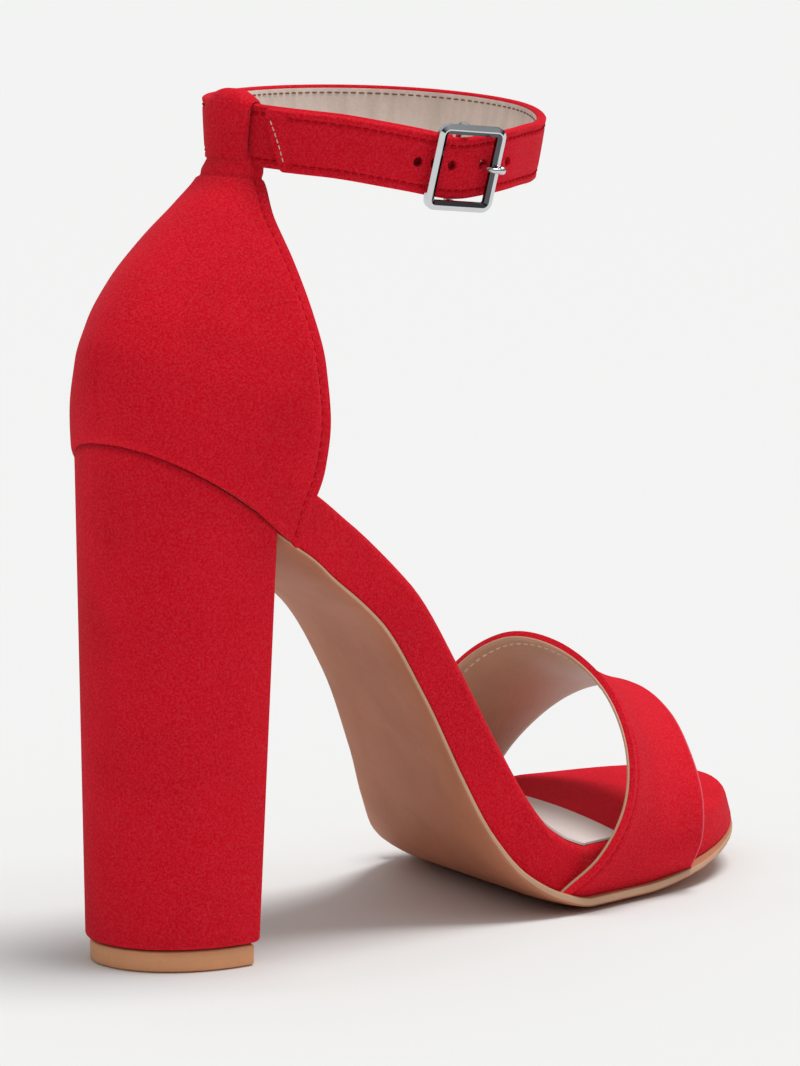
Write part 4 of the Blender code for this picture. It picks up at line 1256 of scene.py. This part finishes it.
class SANDAL_OT_ankle_strap(bpy.types.Operator):
    """Ankle strap with its lining, holes and stitching, and the loop that carries it"""

    bl_idname = "sandal.ankle_strap"
    bl_label = "Ankle strap and loop"

    def execute(self, context):
        angles = strap_angles()
        rings = []
        for angle in angles:
            middle, outward, up = strap_frame(angle)
            seam, width = TIP_SEAM
            dent = groove((angle - TIP_ANGLE) * RING_DEGREE, seam, in_mm("seam_depth"), width)
            rings.append([middle + outward * (out + dent * (out > 0.0)) + up * rise
                          for out, rise in strap_section(strap_half(angle))])
        mesh = quad_mesh("suede_ankle_strap", rings, wrap=True, capped=True)
        paint_columns(mesh, len(rings[0]), STRAP_LINED)
        for finish in ("napped_suede", "strap_lining"):
            mesh.materials.append(finish_of(finish))
        mesh = punched(turned_out(mesh), "suede_ankle_strap")
        add_piece("suede_ankle_strap", mesh, (), ("ankle_strap",))
        self.sew(angles)
        self.make_loop()
        return {"FINISHED"}

    def sew(self, angles):
        """Seams along both edges outside and inside, and across the tail's tip."""
        depth = in_mm("seam_depth") * STRAP_SEWN_DEPTH
        outside = []
        inside = []
        run = [angle for angle in angles if angle > TIP_ANGLE + TIP_UNSEWN]
        for sign in (-1.0, 1.0):
            def seam_up(half, sign=sign):
                return sign * (half - SEAM_FROM_EDGE)

            spots, turns = strap_line(run, seam_up, 1.0)
            outside.append((spots - turns * depth, turns))
            inside.append(strap_line(run, seam_up, -1.0))
        stitches("strap_stitches", outside, "red_thread", scale=0.8)
        stitches("strap_lining_stitches", inside, "dark_thread", sink=0.05, scale=0.8)
        tip = TIP_ANGLE + TIP_STITCHED
        spots = []
        turns = []
        for up in np.linspace(-1.0, 1.0, 15):
            def tip_up(half, up=up):
                return up * (half - TIP_STITCH_INSET)

            spot, turn = strap_line((tip - TIP_STITCH_LEAN * up,), tip_up, 1.0)
            spots.append(spot[0])
            turns.append(turn[0])
        stitches("strap_tip_stitches", [(np.array(spots), np.array(turns))], "pale_thread", sink=0.04,
                 scale=0.6)

    def make_loop(self):
        """Padded tab folded round the strap, with thick rolled ends."""
        low, high = LOOP_REACH
        thick = 2.0 * LOOP_ROLL

        def from_middle(along):
            return 2.0 * (along - low) / (high - low) - 1.0

        def rolled_end(end, inward, start):
            turns = np.radians(np.linspace(start, -start, 11))[1:-1]
            return [(end + inward * LOOP_ROLL * (1.0 - math.cos(t)), LOOP_ROLL * (1.0 + math.sin(t)), 0.0)
                    for t in turns]

        run = np.linspace(low + LOOP_ROLL, high - LOOP_ROLL, LOOP_POINTS)
        profile = [(along, thick, LOOP_PUFF * (1.0 - from_middle(along) ** 2)) for along in run]
        profile += rolled_end(high, -1.0, 90.0)
        profile += [(along, 0.0, 0.0) for along in run[::-4]]
        profile += rolled_end(low, 1.0, -90.0)
        inner_out = in_mm("strap_thickness") / 2.0 + LOOP_SLACK
        inner_up = in_mm("strap_width") / 2.0 + LOOP_SLACK
        rings = []
        for turn in np.linspace(0.0, 2.0 * math.pi, LOOP_SECTIONS, endpoint=False):
            out = signed_power(math.cos(turn), LOOP_ROUNDING[0])
            rise = signed_power(math.sin(turn), LOOP_ROUNDING[1])
            ring = []
            for along, height, puff in profile:
                centre, _, outward, up = ring_frame(math.degrees(along / RING_HALF[1]))
                dome = LOOP_DOME * from_middle(along) ** 2 * height / thick * max(math.sin(turn), 0.0)
                height += puff * max(math.cos(turn), 0.0)
                drop = LOOP_DROP * max(-math.sin(turn), 0.0)
                upright = (inner_up + height - dome + drop) * rise
                ring.append(centre + outward * (inner_out + height) * out + up * upright)
            rings.append(ring)
        add_rings("suede_loop", rings, ("napped_suede",), "strap_loop", closed=True)


class SANDAL_OT_buckle(bpy.types.Operator):
    """Polished buckle frame, its centre bar and its prong"""

    bl_idname = "sandal.buckle"
    bl_label = "Buckle"

    def execute(self, context):
        wide = in_mm("bar_width")
        half_long = (in_mm("buckle_length") - wide) / 2.0
        half_high = (in_mm("buckle_height") - wide) / 2.0
        section = bevelled_bar(wide / 2.0, in_mm("bar_thickness") / 2.0)
        rings = []
        for quarter in range(4):
            middle_turn = math.radians(90.0 * quarter + 45.0)
            middle = ((half_long - BUCKLE_CORNER) * math.copysign(1.0, math.cos(middle_turn)),
                      (half_high - BUCKLE_CORNER) * math.copysign(1.0, math.sin(middle_turn)))
            for turn in np.radians(90.0 * quarter + np.linspace(0.0, 90.0, 13)):
                ring = []
                for across, thick in section:
                    radius = BUCKLE_CORNER + across
                    ring.append(buckle_point(middle[0] + radius * math.cos(turn), BUCKLE_LIFT + thick,
                                             middle[1] + radius * math.sin(turn)))
                rings.append(ring)
        # the inner slopes of the frame carry a painted dark reflection
        piece = add_rings("polished_frame", rings, ("polished_metal", "painted_reflection_metal"),
                          "buckle_frame", FRAME_PAINTED_REFLECTION, closed=True)
        crisp(piece, FRAME_CRISP)
        top = BUCKLE_LIFT - in_mm("bar_thickness") / 2.0
        part = CENTRE_BAR_BEND / 4.0
        low = CENTRE_BAR_LIFT
        route = [(top, CENTRE_BAR_REACH), (low + CENTRE_BAR_BEND, CENTRE_BAR_REACH)]
        route += [(low + part, CENTRE_BAR_REACH - part), (low, CENTRE_BAR_REACH - CENTRE_BAR_BEND)]
        route += [(low, 0.0)] + [(out, -rise) for out, rise in route[::-1]]
        points = smooth_route([buckle_point(0.0, out, rise) for out, rise in route], 60)
        add_wire("polished_bar", points, np.full(len(points), CENTRE_BAR_RADIUS), "buckle_bar")
        level = math.tan(math.radians(BUCKLE_TURN))
        points = smooth_route([buckle_point(along, out, along * level) for along, out in PRONG], 110)
        to_tip = np.linalg.norm(points - points[-1], axis=1)
        ball = np.sqrt(np.maximum(PRONG_BALL ** 2 - (to_tip - PRONG_BALL) ** 2, 1.0e-4))
        radii = np.where(to_tip > PRONG_BALL, np.maximum(in_mm("prong_radius"), ball), ball)
        add_wire("polished_prong", points, radii, "buckle_prong")
        return {"FINISHED"}


class SANDAL_OT_stage(bpy.types.Operator):
    """Pale floor, soft light and the camera"""

    bl_idname = "sandal.stage"
    bl_label = "Stage"

    def execute(self, context):
        stage = context.scene.sandal_stage
        self.lay_floor(stage)
        self.light(context, stage)
        camera = add_object("camera", bpy.data.cameras.new("camera"))
        camera.data.lens = stage.lens
        camera.data.clip_start = 0.05
        camera.data.clip_end = 200.0
        place = Vector(stage.camera_place) + Vector(ORIGIN)
        aim = Vector(stage.camera_aim) + Vector(ORIGIN)
        camera.location = place
        camera.rotation_euler = (aim - place).to_track_quat("-Z", "Y").to_euler()
        context.scene.camera = camera
        context.scene.view_settings.view_transform = "Standard"
        return {"FINISHED"}

    def lay_floor(self, stage):
        shape = bmesh.new()
        bmesh.ops.create_grid(shape, x_segments=8, y_segments=8, size=FLOOR_HALF)
        mesh = as_mesh("floor", shape)
        floor = add_object("floor", mesh)
        floor.location.z = -FLOOR_DROP
        made = bpy.data.materials.new("floor")
        made.use_nodes = True
        shader = made.node_tree.nodes["Principled BSDF"].inputs
        shader["Base Color"].default_value = (*stage.floor, 1.0)
        shader["Roughness"].default_value = 0.9
        shader["Specular IOR Level"].default_value = 0.1
        mesh.materials.append(made)

    def light(self, context, stage):
        world = bpy.data.worlds.new("studio")
        context.scene.world = world
        world.use_nodes = True
        tree = world.node_tree
        place = tree.nodes.new("ShaderNodeTexCoord").outputs["Generated"]
        height = add_node(tree, "ShaderNodeSeparateXYZ", {0: place}).outputs["Z"]
        ramp = add_node(tree, "ShaderNodeValToRGB", {"Fac": height})
        for element, (position, tone) in zip(ramp.color_ramp.elements, DOME_RAMP):
            element.position = position
            element.color = tone
        background = tree.nodes["Background"].inputs
        tree.links.new(ramp.outputs["Color"], background["Color"])
        background["Strength"].default_value = stage.dome
        sun = add_object("key", bpy.data.lights.new("key", "SUN"))
        sun.data.energy = stage.key
        sun.data.color = KEY_TINT
        sun.data.angle = stage.key_angle
        sun.rotation_euler = Vector(KEY_COURSE).to_track_quat("-Z", "Y").to_euler()


PIECES = (SANDAL_OT_outsole, SANDAL_OT_footbed, SANDAL_OT_heel, SANDAL_OT_counter, SANDAL_OT_vamp,
          SANDAL_OT_ankle_strap, SANDAL_OT_buckle, SANDAL_OT_stage)


class SANDAL_PT_pieces(bpy.types.Panel):
    """Lists the pieces of the sandal and its sizes and colours"""

    bl_idname = "SANDAL_PT_pieces"
    bl_label = "Ankle strap heel"
    bl_space_type = "VIEW_3D"
    bl_region_type = "UI"
    bl_category = "Sandal"

    def draw(self, context):
        for piece in PIECES:
            self.layout.operator(piece.bl_idname)
        for group in (context.scene.sandal_sizes, context.scene.sandal_colours, context.scene.sandal_stage):
            box = self.layout.box()
            for name in group.__annotations__:
                box.prop(group, name)


GROUPS = {"sandal_sizes": SandalSizes, "sandal_colours": SandalColours, "sandal_stage": SandalStage}


def register():
    for group in GROUPS.values():
        bpy.utils.register_class(group)
    for name, group in GROUPS.items():
        setattr(bpy.types.Scene, name, PointerProperty(type=group))
    for kind in (*PIECES, SANDAL_PT_pieces):
        bpy.utils.register_class(kind)


def unregister():
    for kind in (SANDAL_PT_pieces, *reversed(PIECES)):
        bpy.utils.unregister_class(kind)
    for name in GROUPS:
        delattr(bpy.types.Scene, name)
    for group in reversed(GROUPS.values()):
        bpy.utils.unregister_class(group)


def main():
    register()
    bpy.ops.sandal.outsole()
    bpy.ops.sandal.footbed()
    bpy.ops.sandal.heel()
    bpy.ops.sandal.counter()
    bpy.ops.sandal.vamp()
    bpy.ops.sandal.ankle_strap()
    bpy.ops.sandal.buckle()
    bpy.ops.sandal.stage()


if __name__ == "__main__":
    main()
